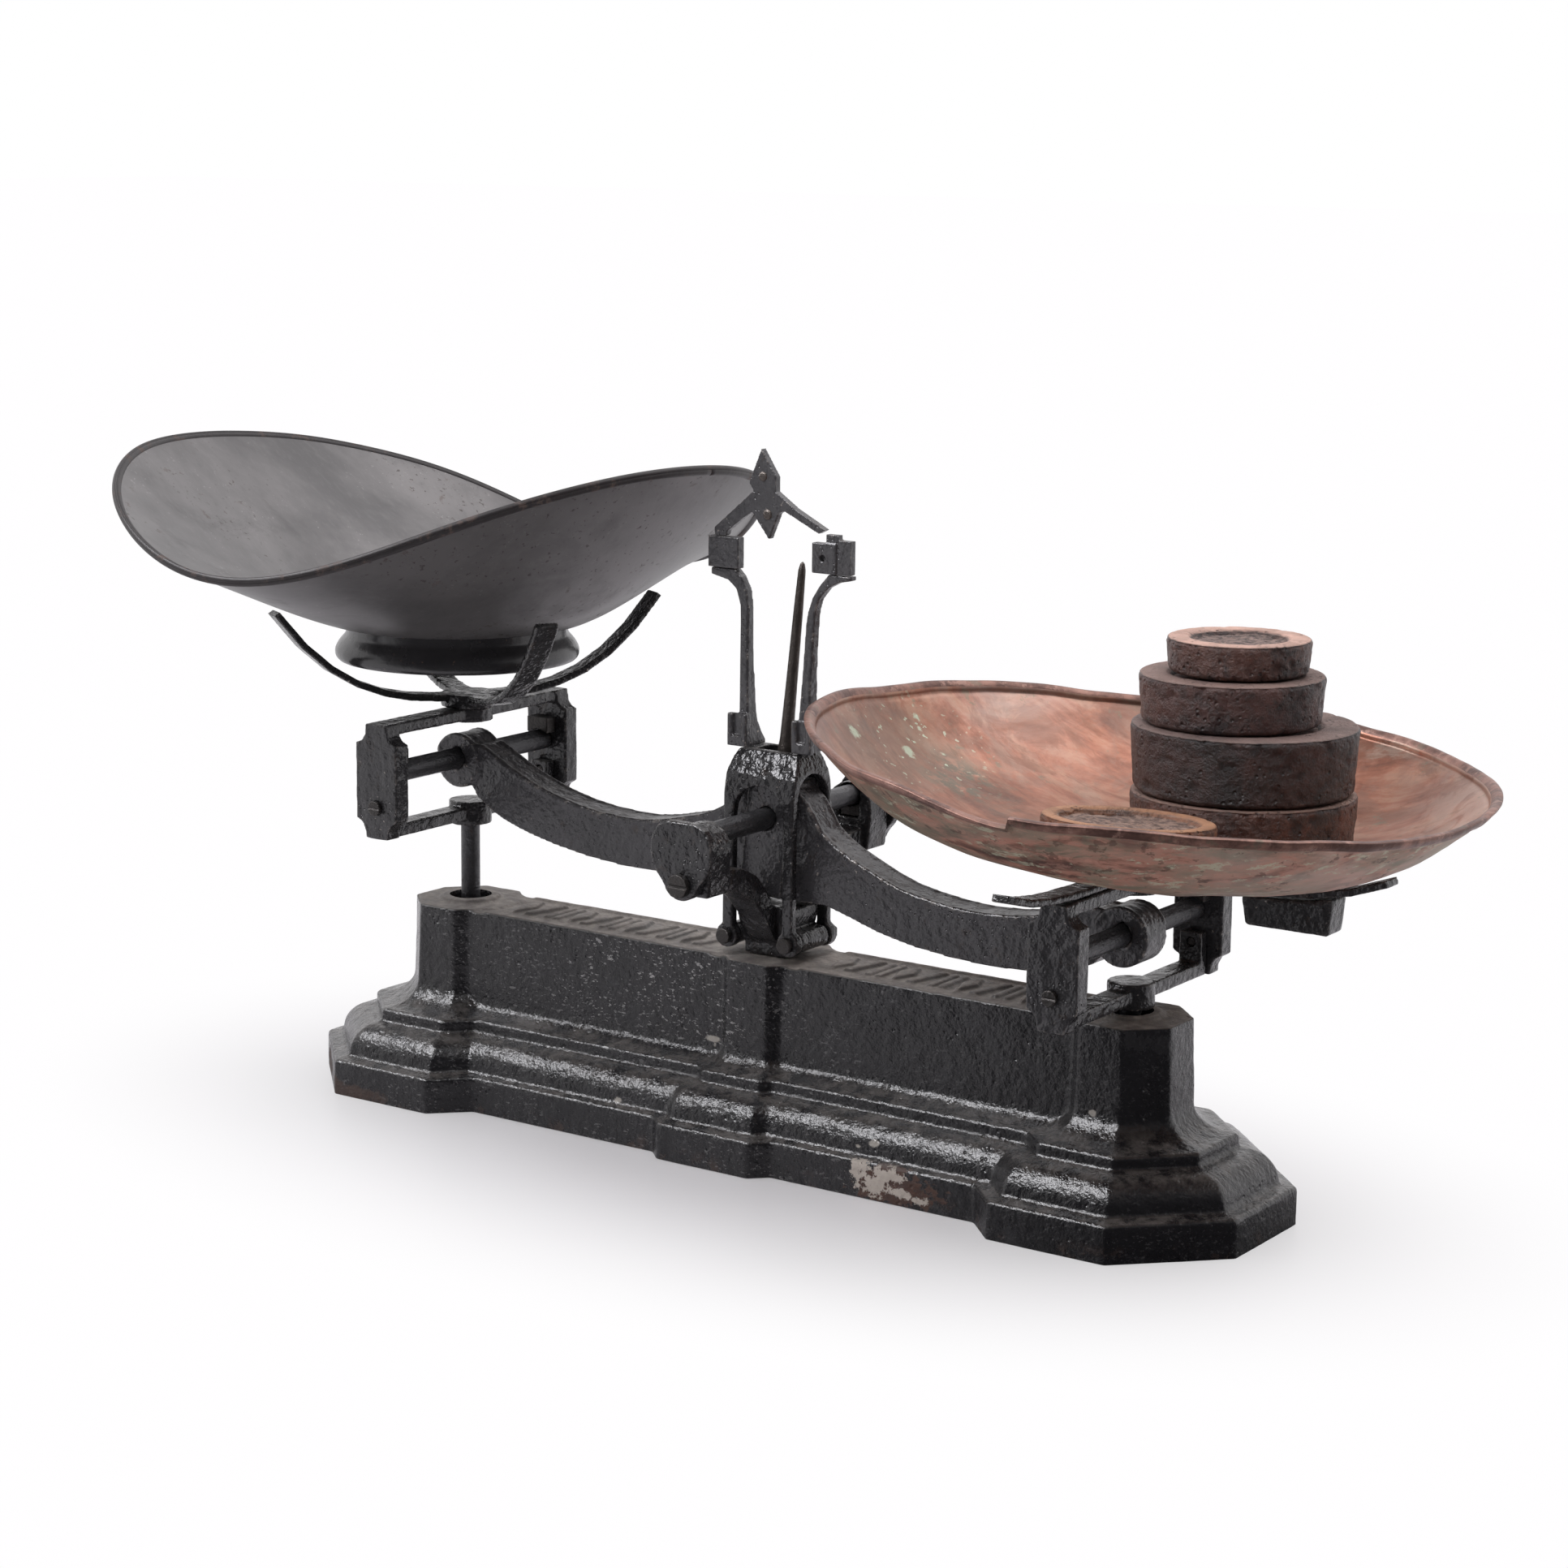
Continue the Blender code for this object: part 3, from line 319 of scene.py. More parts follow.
def top_dust(m, z):
    """Dust on upward faces, thick on the ornamented top."""
    up = m.step(m.facing, lo=0.3, hi=0.8)
    deck = m.step(z, lo=0.066, hi=0.072)
    drift = m.blots(110, detail=7, rough=0.72, lo=0.38, hi=0.6)
    pale = m.step(m.facing, lo=0.7, hi=0.96)
    dust = m.mul(up, deck, m.lerp(drift, 0.62, 1.0))
    ledge = m.mul(up, m.inverse(deck), m.mul(drift, 0.28))
    m.coat(m.most(dust, ledge), m.mix(m.mul(pale, m.noise(260, detail=4, rough=0.6)),
                                      (0.135, 0.118, 0.106), (0.66, 0.6, 0.555)))
    return dust


def gloss_black():
    """Thick gloss paint over rough cast iron, chipped, dusty on its top."""
    m = Mat("gloss_black_paint")
    x, y, z = m.xyz(m.co)
    upright = m.step(m.math("ABSOLUTE", m.facing), lo=0.3, hi=0.05)
    m.col = m.mix(m.noise(38, detail=5, rough=0.6), (0.0098, 0.0094, 0.0108),
                  (0.021, 0.0201, 0.0228))
    # greyed scuffs, partly a painted floor reflection, mostly on the flat upright faces
    scuff_and_sheen = m.blots(80, detail=8, rough=0.74, warp=0.4, lo=0.5, hi=0.62)
    m.coat(scuff_and_sheen, (0.03, 0.0292, 0.0325), amount=m.lerp(upright, 0.15, 0.55))
    chips = paint_chips(m, x, z, upright)
    spots = [m.near(at, r * 0.7, r * 1.2, squash,
                    wobble=m.noise(330, detail=4, rough=0.7), by=0.0022)
             for at, r, squash in BLOTS]
    m.coat(m.most(*spots), (0.44, 0.41, 0.37))
    worn = m.mul(m.step(m.point, lo=0.52, hi=0.585),
                 m.blots(150, detail=5, rough=0.7, lo=0.5, hi=0.62))
    m.coat(worn, (0.115, 0.1, 0.092), amount=0.5)
    bare, halo = flaked_patch(m, y)
    rust = foot_rust(m, z)
    dust = top_dust(m, z)
    # grey dirt in the creases
    crease = m.mul(m.step(m.point, lo=0.485, hi=0.455),
                   m.blots(60, detail=5, rough=0.6, lo=0.42, hi=0.6))
    m.coat(crease, (0.05, 0.046, 0.044), amount=0.55)
    matte = m.most(m.most(dust, bare),
                   m.most(m.mul(rust, 0.9), m.most(m.mul(halo, 0.8), m.mul(crease, 0.7))))
    rough = m.lerp(m.noise(60, detail=5, rough=0.65), 0.1, 0.22)
    rough = m.lerp(m.mul(scuff_and_sheen, upright), rough, 0.34)
    rough = m.lerp(matte, rough, 0.85)
    pocks = m.mul(m.cells(300, lo=0.3, hi=0.04),
                  m.blots(55, detail=4, rough=0.6, lo=0.5, hi=0.6))
    relief = m.less(m.weigh((m.noise(150, detail=3, rough=0.5), 1.0),
                            (m.noise(560, detail=3, rough=0.6), 0.6),
                            (m.noise(290, detail=3, rough=0.6), 0.55)), pocks, 0.5)
    grit = m.weigh((m.noise(1500, detail=2, rough=0.6), 0.3))
    normal = m.bump(relief, strength=0.62, dist=0.0011)
    normal = m.bump(m.less(grit, m.most(chips, bare), 0.5), strength=0.3, dist=0.0005,
                    under=normal)
    return m.finish(rough, normal, specular=0.5)


# ================================================================ iron and steel
def satin_iron(name, tone, gloss, chipping=1.0, lumps=1.0, wear=0.25):
    """Brushed-on black paint over forged and cast iron: pits, flecks, rubbed edges."""
    m = Mat(name)
    m.col = m.mix(m.noise(55, detail=6, rough=0.65), scaled((0.011, 0.0108, 0.0115), tone),
                  scaled((0.03, 0.0288, 0.031), tone))
    rub = m.mul(m.step(m.point, lo=0.515, hi=0.575),
                m.blots(190, detail=5, rough=0.72, lo=0.42, hi=0.58))
    m.coat(rub, (0.125, 0.118, 0.118), amount=0.55)
    chip = m.mul(m.blots(560, detail=3, rough=0.6, lo=0.665, hi=0.7),
                 m.blots(48, detail=4, rough=0.6, lo=0.46, hi=0.58))
    m.coat(chip, (0.33, 0.29, 0.26), amount=0.8 * chipping)
    m.coat(m.blots(130, detail=7, rough=0.75, lo=0.57, hi=0.67), (0.042, 0.029, 0.023),
           amount=0.6)
    drift = m.blots(160, detail=6, rough=0.7, lo=0.4, hi=0.62)
    dust = m.mul(m.step(m.facing, lo=0.55, hi=0.98), m.lerp(drift, 0.05, 0.42))
    m.coat(dust, (0.15, 0.138, 0.13))
    flecks = m.mul(m.step(m.point, lo=0.512, hi=0.56),
                   m.blots(330, detail=6, rough=0.75, lo=0.53, hi=0.58))
    m.coat(flecks, (0.4, 0.36, 0.33), amount=wear)
    rough = m.lerp(m.noise(90, detail=5, rough=0.7), gloss - 0.08, gloss + 0.12)
    rough = m.lerp(m.most(dust, m.mul(rub, 0.3)), rough, 0.75)
    pits = m.mul(m.cells(480, lo=0.26, hi=0.05),
                 m.blots(75, detail=4, rough=0.6, lo=0.47, hi=0.58))
    relief = m.less(m.weigh((m.noise(165, detail=3, rough=0.55), lumps),
                            (m.noise(330, detail=2, rough=0.5), 0.42),
                            (m.noise(850, detail=2, rough=0.5), 0.07)), pits, 0.65)
    normal = m.bump(relief, strength=0.58, dist=0.0016)
    normal = m.bump(m.noise(1900, detail=2, rough=0.6), strength=0.07, dist=0.0003, under=normal)
    return m.finish(rough, normal, metal=0.15, specular=0.55)


def bare_steel(name, dark, pale, rough, metal, spots, grain=(1, 1, 1)):
    """Old bare steel: brownish patina, small pale and rusty flecks, faint file marks."""
    m = Mat(name)
    m.col = m.mix(m.noise(70, detail=6, rough=0.65), dark, pale)
    m.coat(m.blots(640, detail=3, rough=0.6, lo=0.675, hi=0.72), (0.34, 0.29, 0.24),
           amount=spots)
    rust = m.blots(170, detail=7, rough=0.75, lo=0.58, hi=0.7)
    m.coat(rust, (0.06, 0.032, 0.022), amount=0.45)
    edge = m.mul(m.step(m.point, lo=0.515, hi=0.57), m.noise(260, detail=4, rough=0.7))
    m.coat(edge, scaled(pale, 2.6), amount=0.6)
    marks = m.noise(900, detail=3, rough=0.6, vec=m.map(scale=grain))
    varied = m.lerp(m.noise(120, detail=5, rough=0.65), rough - 0.08, rough + 0.12)
    relief = m.weigh((m.noise(240, detail=5, rough=0.65), 0.8), (marks, 0.35))
    return m.finish(m.lerp(rust, varied, 0.8), m.bump(relief, strength=0.75, dist=0.0011),
                    metal=m.lerp(rust, metal, 0.1))


# ================================================================ tin of the scoop
def black_tin():
    """Thin blackened sheet: satin, brushed streaks at a slant, brown specks."""
    m = Mat("black_tin")
    inside = m.step(m.facing, lo=-0.15, hi=0.15)
    streak = m.noise(30, detail=7, rough=0.72, vec=m.map(scale=(0.55, 1.3, 0.9), spin=60))
    fine = m.noise(240, detail=5, rough=0.7, vec=m.map(scale=(0.35, 2.0, 1.0), spin=60))
    cloud = m.noise(8, detail=5, rough=0.62, warp=0.4)
    tone = m.step(m.weigh((streak, 0.22), (cloud, 0.78)), lo=0.36, hi=0.64)
    m.col = m.mix(tone, (0.095, 0.091, 0.092), (0.2, 0.19, 0.19))
    m.coat(m.step(fine, lo=0.5, hi=0.66), (0.25, 0.245, 0.245), amount=0.1)
    dark = m.blots(17, detail=6, rough=0.7, warp=0.5, lo=0.54, hi=0.66)
    m.coat(dark, (0.07, 0.067, 0.068), amount=0.22)
    brown = m.mul(m.blots(105, detail=6, rough=0.72, lo=0.61, hi=0.66),
                  m.step(cloud, lo=0.47, hi=0.58))
    m.coat(brown, (0.115, 0.078, 0.064), amount=0.45)
    m.coat(m.blots(420, detail=2, rough=0.5, lo=0.655, hi=0.685), (0.04, 0.028, 0.024),
           amount=m.mul(m.step(cloud, lo=0.5, hi=0.6), 0.7))
    pale = m.mul(m.blots(620, detail=2, rough=0.5, lo=0.66, hi=0.69),
                 m.step(streak, lo=0.5, hi=0.6))
    m.coat(pale, (0.36, 0.35, 0.34), amount=0.4)
    m.coat(m.inverse(inside), (0.06, 0.057, 0.058), amount=0.35)
    m.coat(m.step(m.point, lo=0.53, hi=0.62), (0.16, 0.145, 0.14),
           amount=m.weigh((m.noise(140, detail=5, rough=0.7), 0.3)))
    rough = m.lerp(m.weigh((streak, 0.4), (cloud, 0.6)), 0.34, 0.44)
    rough = m.lerp(m.most(brown, m.mul(dark, 0.4)), rough, 0.62)
    relief = m.weigh((m.noise(20, detail=4, rough=0.5), 1.0), (fine, 0.08))
    normal = m.bump(relief, strength=0.28, dist=0.0013)
    normal = m.bump(m.noise(900, detail=3, rough=0.6), strength=0.07, dist=0.0003, under=normal)
    return m.finish(rough, normal, metal=0.5, specular=0.5)


def tin_edge():
    """The wired edge, painted darker and rubbed through in patches."""
    m = Mat("tin_wired_edge")
    m.col = m.mix(m.noise(70, detail=5, rough=0.65), (0.022, 0.019, 0.02), (0.058, 0.052, 0.053))
    rub = m.blots(95, detail=6, rough=0.72, lo=0.53, hi=0.62)
    m.coat(rub, (0.13, 0.092, 0.08), amount=0.6)
    normal = m.bump(m.noise(260, detail=4, rough=0.6), strength=0.3, dist=0.0005)
    return m.finish(m.lerp(rub, 0.42, 0.6), normal, metal=0.05, specular=0.25)


def foot_paint():
    """The scoop's foot ring: gloss black, rubbed along its rim."""
    m = Mat("foot_ring_paint")
    m.col = m.mix(m.noise(60, detail=6, rough=0.6), (0.017, 0.0162, 0.018), (0.04, 0.0385, 0.041))
    rub = m.mul(m.step(m.point, lo=0.52, hi=0.6),
                m.blots(140, detail=5, rough=0.7, lo=0.46, hi=0.62))
    m.coat(rub, (0.11, 0.1, 0.1), amount=0.5)
    m.coat(m.blots(420, detail=3, rough=0.6, lo=0.68, hi=0.72), (0.17, 0.11, 0.08), amount=0.6)
    normal = m.bump(m.noise(120, detail=4, rough=0.55), strength=0.35, dist=0.0009)
    return m.finish(m.lerp(m.noise(80, detail=5, rough=0.65), 0.18, 0.34), normal, specular=0.6)


# ================================================================ copper of the pan
# verdigris spots: place, radius
VERDIGRIS = (
    ((0.0565, 0.0018, 0.1611), 0.0040), ((0.0470, 0.0219, 0.1706), 0.0028),
    ((0.0504, 0.0192, 0.1671), 0.0020), ((0.0487, -0.0260, 0.1710), 0.0046),
    ((0.0510, -0.0039, 0.1657), 0.0015), ((0.0617, 0.0190, 0.1581), 0.0017),
    ((0.0664, 0.0115, 0.1546), 0.0014), ((0.0438, 0.0246, 0.1745), 0.0015),
    ((0.0520, -0.0400, 0.1660), 0.0022), ((0.0455, 0.0360, 0.1740), 0.0016),
    ((0.1650, 0.0900, 0.1500), 0.0016),
)
COPPER_SPIN = 28  # slant of the streaks, degrees


def finish_copper(m, mid, rough_lo, rough_hi, metal, specular):
    m.coat(m.step(m.point, lo=0.53, hi=0.64), (0.36, 0.2, 0.15), amount=0.35)
    relief = m.weigh((m.noise(34, detail=4, rough=0.5), 1.0),
                     (m.noise(160, detail=4, rough=0.6), 0.18))
    normal = m.bump(relief, strength=0.42, dist=0.0018)
    normal = m.bump(m.noise(1200, detail=3, rough=0.6), strength=0.1, dist=0.0003, under=normal)
    return m.finish(m.lerp(mid, rough_lo, rough_hi), normal, metal, specular)


def verdigris(m, small):
    """Pale green ragged spots and specks."""
    wobble = m.noise(210, detail=6, rough=0.75)
    spots = [m.near(at, r * 0.45, r * 0.85, (1, 1, 0.8), wobble=wobble, by=r * 1.9)
             for at, r in VERDIGRIS]
    specks = m.mul(m.blots(330, detail=2, rough=0.5, lo=0.66, hi=0.69),
                   m.near((0.058, 0.005, 0.163), inner=0.01, outer=0.04, squash=(1, 0.8, 1)))
    m.coat(m.most(*spots, specks), m.mix(small, (0.36, 0.41, 0.29), (0.62, 0.65, 0.52)),
           amount=0.95)


def copper_inside():
    """Pinkish brown worn copper with smudges and pale green spots."""
    m = Mat("worn_copper")
    x = m.xyz(m.co)[0]
    big = m.noise(13, detail=6, rough=0.64, warp=0.6)
    mid = m.noise(46, detail=7, rough=0.68, warp=0.8)
    small = m.noise(190, detail=5, rough=0.65)
    streak = m.noise(26, detail=7, rough=0.7, warp=0.6,
                     vec=m.map(scale=(0.55, 2.1, 1.6), spin=COPPER_SPIN))
    fine = m.noise(170, detail=5, rough=0.7, vec=m.map(scale=(0.4, 2.4, 1.5), spin=COPPER_SPIN))
    # distance from a point below the rim's centre
    middle = (-PAN_CENTRE.x, -PAN_CENTRE.y, -PAN_CENTRE.z + 0.018)
    away = m.vector_math("LENGTH", m.map(loc=middle))
    m.col = m.ramp(m.weigh((big, 0.5), (streak, 0.5)),
                   (0.38, (0.13, 0.062, 0.044)), (0.45, (0.26, 0.104, 0.066)),
                   (0.50, (0.365, 0.155, 0.1)), (0.55, (0.43, 0.228, 0.155)),
                   (0.63, (0.345, 0.225, 0.17)))
    m.coat(m.step(mid, lo=0.5, hi=0.6), (0.27, 0.155, 0.115), amount=0.5)
    m.coat(m.step(small, lo=0.5, hi=0.66), (0.45, 0.27, 0.21), amount=0.15)
    m.coat(m.step(fine, lo=0.5, hi=0.66), (0.23, 0.125, 0.092), amount=0.22)
    grey = m.blots(17, detail=6, rough=0.66, warp=0.8, lo=0.5, hi=0.6,
                   vec=m.map(scale=(0.8, 1.6, 1.2), spin=COPPER_SPIN))
    m.coat(grey, (0.385, 0.3, 0.24), amount=m.lerp(m.step(x, lo=0.12, hi=0.24), 0.25, 0.7))
    # pale worn field in the middle, umber streaks, darker girdle below the rim
    field = m.near((0.165, 0, 0.137), inner=0.02, outer=0.085, wobble=mid, by=0.05)
    m.coat(field, (0.48, 0.265, 0.165), amount=0.42)
    umber = m.blots(27, detail=6, rough=0.7, warp=0.7, lo=0.525, hi=0.6,
                    vec=m.map(scale=(0.7, 1.8, 1.3), spin=COPPER_SPIN))
    m.coat(umber, (0.19, 0.082, 0.05), amount=0.48)
    girdle = m.mul(m.step(away, lo=0.098, hi=0.12),
                   m.blots(22, detail=5, rough=0.65, lo=0.42, hi=0.58))
    m.coat(girdle, (0.165, 0.098, 0.08), amount=0.6)
    # grey-green smudges
    smudge = m.blots(21, detail=7, rough=0.72, warp=0.9, lo=0.565, hi=0.63)
    heavy = m.near((0.073, 0.01, 0.1515), inner=0.007, outer=0.022, squash=(0.85, 0.85, 1),
                   wobble=mid, by=0.022)
    broken = m.mul(m.step(small, lo=0.38, hi=0.56), m.step(streak, lo=0.4, hi=0.54))
    m.coat(m.most(m.mul(smudge, 0.3), m.mul(heavy, broken, 0.8)), (0.125, 0.125, 0.092))
    stain = m.near((0.056, -0.008, 0.162), inner=0.01, outer=0.03, squash=(1.2, 0.55, 0.6),
                   wobble=mid, by=0.03)
    m.coat(stain, (0.17, 0.14, 0.105), amount=0.4)
    verdigris(m, small)
    # thin pale painted sheen, a painted reflection on the wall at the left; bright rubbed sheet
    # at the right
    painted_sheen = m.near((0.062, 0.068, 0.176), inner=0.008, outer=0.036, squash=(0.8, 0.8, 1.2),
                   wobble=mid, by=0.03)
    m.coat(m.mul(painted_sheen, m.step(big, lo=0.36, hi=0.6)), (0.56, 0.46, 0.42), amount=0.4)
    bright = m.mul(m.step(x, lo=0.215, hi=0.262), m.step(mid, lo=0.42, hi=0.56))
    m.coat(bright, (0.6, 0.42, 0.345), amount=0.45)
    m.coat(m.blots(70, detail=6, rough=0.74, lo=0.605, hi=0.65), (0.17, 0.175, 0.125),
           amount=0.5)
    return finish_copper(m, mid, rough_lo=0.25, rough_hi=0.46, metal=0.5, specular=0.38)


def copper_outside():
    """Mottled brown and green copper, in bands that lie level."""
    m = Mat("worn_copper_outside")
    x = m.xyz(m.co)[0]
    mid = m.noise(46, detail=7, rough=0.68, warp=0.8)
    lie = m.map(scale=(0.75, 0.9, 2.0))
    m.col = m.ramp(m.weigh((m.noise(26, detail=5, rough=0.6, warp=0.5, vec=lie), 0.6),
                           (m.noise(62, detail=7, rough=0.68, warp=0.5, vec=lie), 0.4)),
                   (0.39, (0.105, 0.056, 0.045)), (0.455, (0.235, 0.115, 0.085)),
                   (0.49, (0.39, 0.19, 0.14)), (0.53, (0.33, 0.195, 0.148)),
                   (0.60, (0.185, 0.135, 0.102)))
    # veil and green mottling, and a painted reflection making the right side paler
    m.coat(m.blots(19, detail=6, rough=0.66, warp=0.5, vec=lie, lo=0.46, hi=0.58),
           (0.205, 0.178, 0.13), amount=0.6)
    m.coat(m.blots(40, detail=7, rough=0.72, warp=0.3, vec=lie, lo=0.52, hi=0.59),
           (0.18, 0.182, 0.13), amount=0.55)
    # painted reflection: the right of the outside made paler, where it faces the white sweep
    glow = m.mul(m.step(x, lo=0.19, hi=0.27), m.blots(34, detail=5, rough=0.66, lo=0.36, hi=0.6))
    m.coat(glow, (0.47, 0.36, 0.31), amount=0.45)
    pale = m.mul(m.blots(120, detail=6, rough=0.74, vec=lie, lo=0.555, hi=0.58),
                 m.blots(30, detail=4, rough=0.6, lo=0.48, hi=0.54))
    m.coat(pale, (0.42, 0.42, 0.31), amount=0.7)
    # pink patches and dark spots
    m.coat(m.blots(90, detail=6, rough=0.72, warp=0.5, vec=lie, lo=0.55, hi=0.61),
           (0.46, 0.25, 0.19), amount=0.4)
    m.coat(m.blots(150, detail=4, rough=0.6, lo=0.6, hi=0.64), (0.062, 0.036, 0.03), amount=0.55)
    return finish_copper(m, mid, rough_lo=0.46, rough_hi=0.7, metal=0.18, specular=0.25)


def rim_copper():
    m = Mat("copper_rim")
    m.col = m.mix(m.blots(48, detail=6, rough=0.7, lo=0.4, hi=0.6), (0.12, 0.062, 0.05),
                  (0.3, 0.16, 0.125))
    m.coat(m.blots(150, detail=5, rough=0.7, lo=0.55, hi=0.63), (0.4, 0.24, 0.195), amount=0.6)
    m.coat(m.blots(95, detail=6, rough=0.72, lo=0.57, hi=0.63), (0.13, 0.13, 0.095), amount=0.45)
    normal = m.bump(m.noise(240, detail=5, rough=0.6), strength=0.5, dist=0.0007)
    return m.finish(m.lerp(m.noise(90, detail=4, rough=0.6), 0.32, 0.55), normal, metal=0.5)


# ================================================================ rust of the weights
def weight_place(node):
    """Centre of a weight's foot, its radius and its height."""
    lo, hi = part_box(node)
    foot = Vector(((lo.x + hi.x) / 2, (lo.y + hi.y) / 2, lo.z))
    return foot, (hi.x - lo.x) / 2, hi.z - lo.z


def rusty(name, warm, top, tone=1.0, lift=1.3, well=None):
    """Rough rusted cast iron.  warm brings orange rust, top how far upward faces turn
    pale, lift how pale; well is (node, recess) of a weight whose recess is darker."""
    m = Mat(name)

    def rust(cold, heat, k=1.0):
        return tuple(k * (c + h * warm) for c, h in zip(cold, heat))

    big = m.noise(42, detail=6, rough=0.64, warp=0.3)
    fine = m.noise(330, detail=6, rough=0.72)
    m.col = m.mix(m.step(m.weigh((big, 0.6), (fine, 0.4)), lo=0.38, hi=0.62),
                  rust((0.016, 0.0112, 0.0118), (0.03, 0.012, 0.006), tone),
                  rust((0.084, 0.036, 0.034), (0.42, 0.17, 0.05), tone))
    m.coat(m.blots(85, detail=6, rough=0.72, lo=0.55, hi=0.64),
           rust((0.085, 0.035, 0.029), (0.26, 0.1, 0.045)), amount=0.55 * tone)
    up = m.step(m.facing, lo=0.55, hi=0.95)
    pale = m.mix(m.noise(95, detail=6, rough=0.66),
                 rust((0.15, 0.094, 0.08), (0.24, 0.07, -0.01), lift),
                 rust((0.35, 0.245, 0.22), (0.36, 0.06, -0.14), lift))
    if well:
        node, recess = well
        centre, radius, _ = weight_place(node)
        edge = radius * recess
        axis = m.map(scale=(1, 1, 0), loc=(-centre.x, -centre.y, 0))
        away = m.ragged(m.vector_math("LENGTH", axis),
                        m.noise(260, detail=4, rough=0.7), by=0.003)
        inside = m.step(away, lo=edge + 0.0006, hi=edge - 0.0004)
        bottom = m.mix(m.step(fine, lo=0.4, hi=0.6),
                       rust((0.07, 0.044, 0.038), (0.06, 0.03, 0.02)),
                       rust((0.3, 0.205, 0.175), (0.1, 0.06, 0.02)))
        pale = m.mix(inside, pale, bottom)
    m.coat(up, pale, amount=m.lerp(m.step(big, lo=0.42, hi=0.58), top * 0.75, top))
    edges = m.mul(m.step(m.point, lo=0.512, hi=0.575),
                  m.blots(170, detail=5, rough=0.7, lo=0.34, hi=0.54))
    m.coat(edges, rust((0.27, 0.18, 0.155), (0.34, 0.1, -0.05)), amount=0.72)
    pits = m.cells(360, lo=0.32, hi=0.06)
    pitted = m.blots(60, detail=4, rough=0.6, lo=0.45, hi=0.56)
    m.coat(m.mul(pits, pitted), (0.01, 0.008, 0.008), amount=0.6)
    relief = m.less(m.weigh((m.noise(190, detail=7, rough=0.72), 1.0),
                            (m.noise(560, detail=4, rough=0.7), 0.6)),
                    m.mul(pits, pitted), 0.6)
    rough = m.lerp(m.noise(130, detail=5, rough=0.65), 0.28, 0.52)
    return m.finish(m.lerp(m.mul(up, 0.8), rough, 0.72),
                    m.bump(relief, strength=1.0, dist=0.0017), metal=0.1, specular=0.55)


BASE_PAINT = gloss_black()
IRON = satin_iron("satin_black_iron", tone=1.35, gloss=0.19)
BEAM_IRON = satin_iron("beam_black_iron", tone=2.55, gloss=0.26, lumps=0.8, wear=0.85)
PLATE_IRON = satin_iron("plate_black_iron", tone=1.9, gloss=0.22, wear=0.4)
HEAD_IRON = satin_iron("upright_dark_iron", tone=3.2, gloss=0.3, chipping=1.3, lumps=0.55,
                       wear=0.6)
POINTER_STEEL = bare_steel("pointer_steel", dark=(0.045, 0.038, 0.034),
                           pale=(0.115, 0.098, 0.088), rough=0.4, metal=0.6, spots=0.3,
                           grain=(1, 1, 0.15))
KNIFE_STEEL = bare_steel("knife_steel", dark=(0.026, 0.026, 0.028), pale=(0.085, 0.084, 0.09),
                         rough=0.32, metal=0.45, spots=0.4, grain=(1, 0.15, 1))
SCREW_STEEL = bare_steel("screw_steel", dark=(0.022, 0.02, 0.02), pale=(0.07, 0.064, 0.06),
                         rough=0.4, metal=0.6, spots=0.3)
TIN = black_tin()
TIN_EDGE = tin_edge()
FOOT_PAINT = foot_paint()
PAN_COPPER = copper_inside(), copper_outside(), rim_copper()
RUST = rusty("rusted_iron", warm=0.05, top=0.75)
RUST_DARK = rusty("rusted_iron_dark", warm=0.02, top=0.75, tone=0.55)
RUST_BROWN = rusty("rusted_iron_brown", warm=0.14, top=0.75)
RUST_PALE = rusty("rusted_iron_pale", warm=0.11, top=1.0, lift=2.4,
                  well=("weight_1", STACK_RECESS))
RUST_ORANGE = rusty("rusted_iron_orange", warm=0.55, top=0.95, lift=1.15,
                    well=("weight_5", LOOSE_RECESS))


# ================================================================ mesh helpers
def raw_mesh(name, bm):
    me = bpy.data.meshes.new(name)
    bm.to_mesh(me)
    bm.free()
    return me


def closed_mesh(name, bm, smooth=True):
    """Mesh of a closed shell, its normals turned outward."""
    bmesh.ops.recalc_face_normals(bm, faces=bm.faces)
    me = raw_mesh(name, bm)
    if smooth:
        me.shade_smooth()
    return me


def joined(name, meshes):
    """One mesh of several, which are used up."""
    bm = bmesh.new()
    for me in meshes:
        bm.from_mesh(me)
        bpy.data.meshes.remove(me)
    return raw_mesh(name, bm)


def new_object(name, me, *materials):
    ob = bpy.data.objects.new(name, me)
    LOOKS.objects.link(ob)
    for material in materials:
        me.materials.append(material)
    return ob


def register(ob, body, node=None):
    """Tells the frame what the object moves with and stands for."""
    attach(ob, body)
    if node:
        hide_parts(node)


def apply_modifiers(ob):
    graph = bpy.context.evaluated_depsgraph_get()
    graph.update()
    me = bpy.data.meshes.new_from_object(ob.evaluated_get(graph))
    old = ob.data
    materials = list(old.materials)
    ob.modifiers.clear()
    ob.data = me
    me.name = ob.name
    me.materials.clear()
    for material in materials:
        me.materials.append(material)
    bpy.data.meshes.remove(old)


def clean_copy(node):
    """A CAD node's mesh with welded vertices and no materials."""
    me = NODES[node].data.copy()
    bm = bmesh.new()
    bm.from_mesh(me)
    bmesh.ops.remove_doubles(bm, verts=bm.verts, dist=2e-6)
    bmesh.ops.recalc_face_normals(bm, faces=bm.faces)
    bm.to_mesh(me)
    bm.free()
    me.materials.clear()
    return me


def clouds(name, size, depth):
    texture = bpy.data.textures.new(name, "CLOUDS")
    texture.noise_scale = size
    texture.noise_depth = depth
    texture.noise_basis = "IMPROVED_PERLIN"
    return texture


CAST_SKIN = clouds("cast_skin", size=0.005, depth=3)
CAST_LUMPS = clouds("cast_lumps", size=0.016, depth=2)


def displace(ob, texture, amount):
    modifier = ob.modifiers.new("d", "DISPLACE")
    modifier.texture = texture
    modifier.texture_coords = "LOCAL"
    modifier.strength = amount


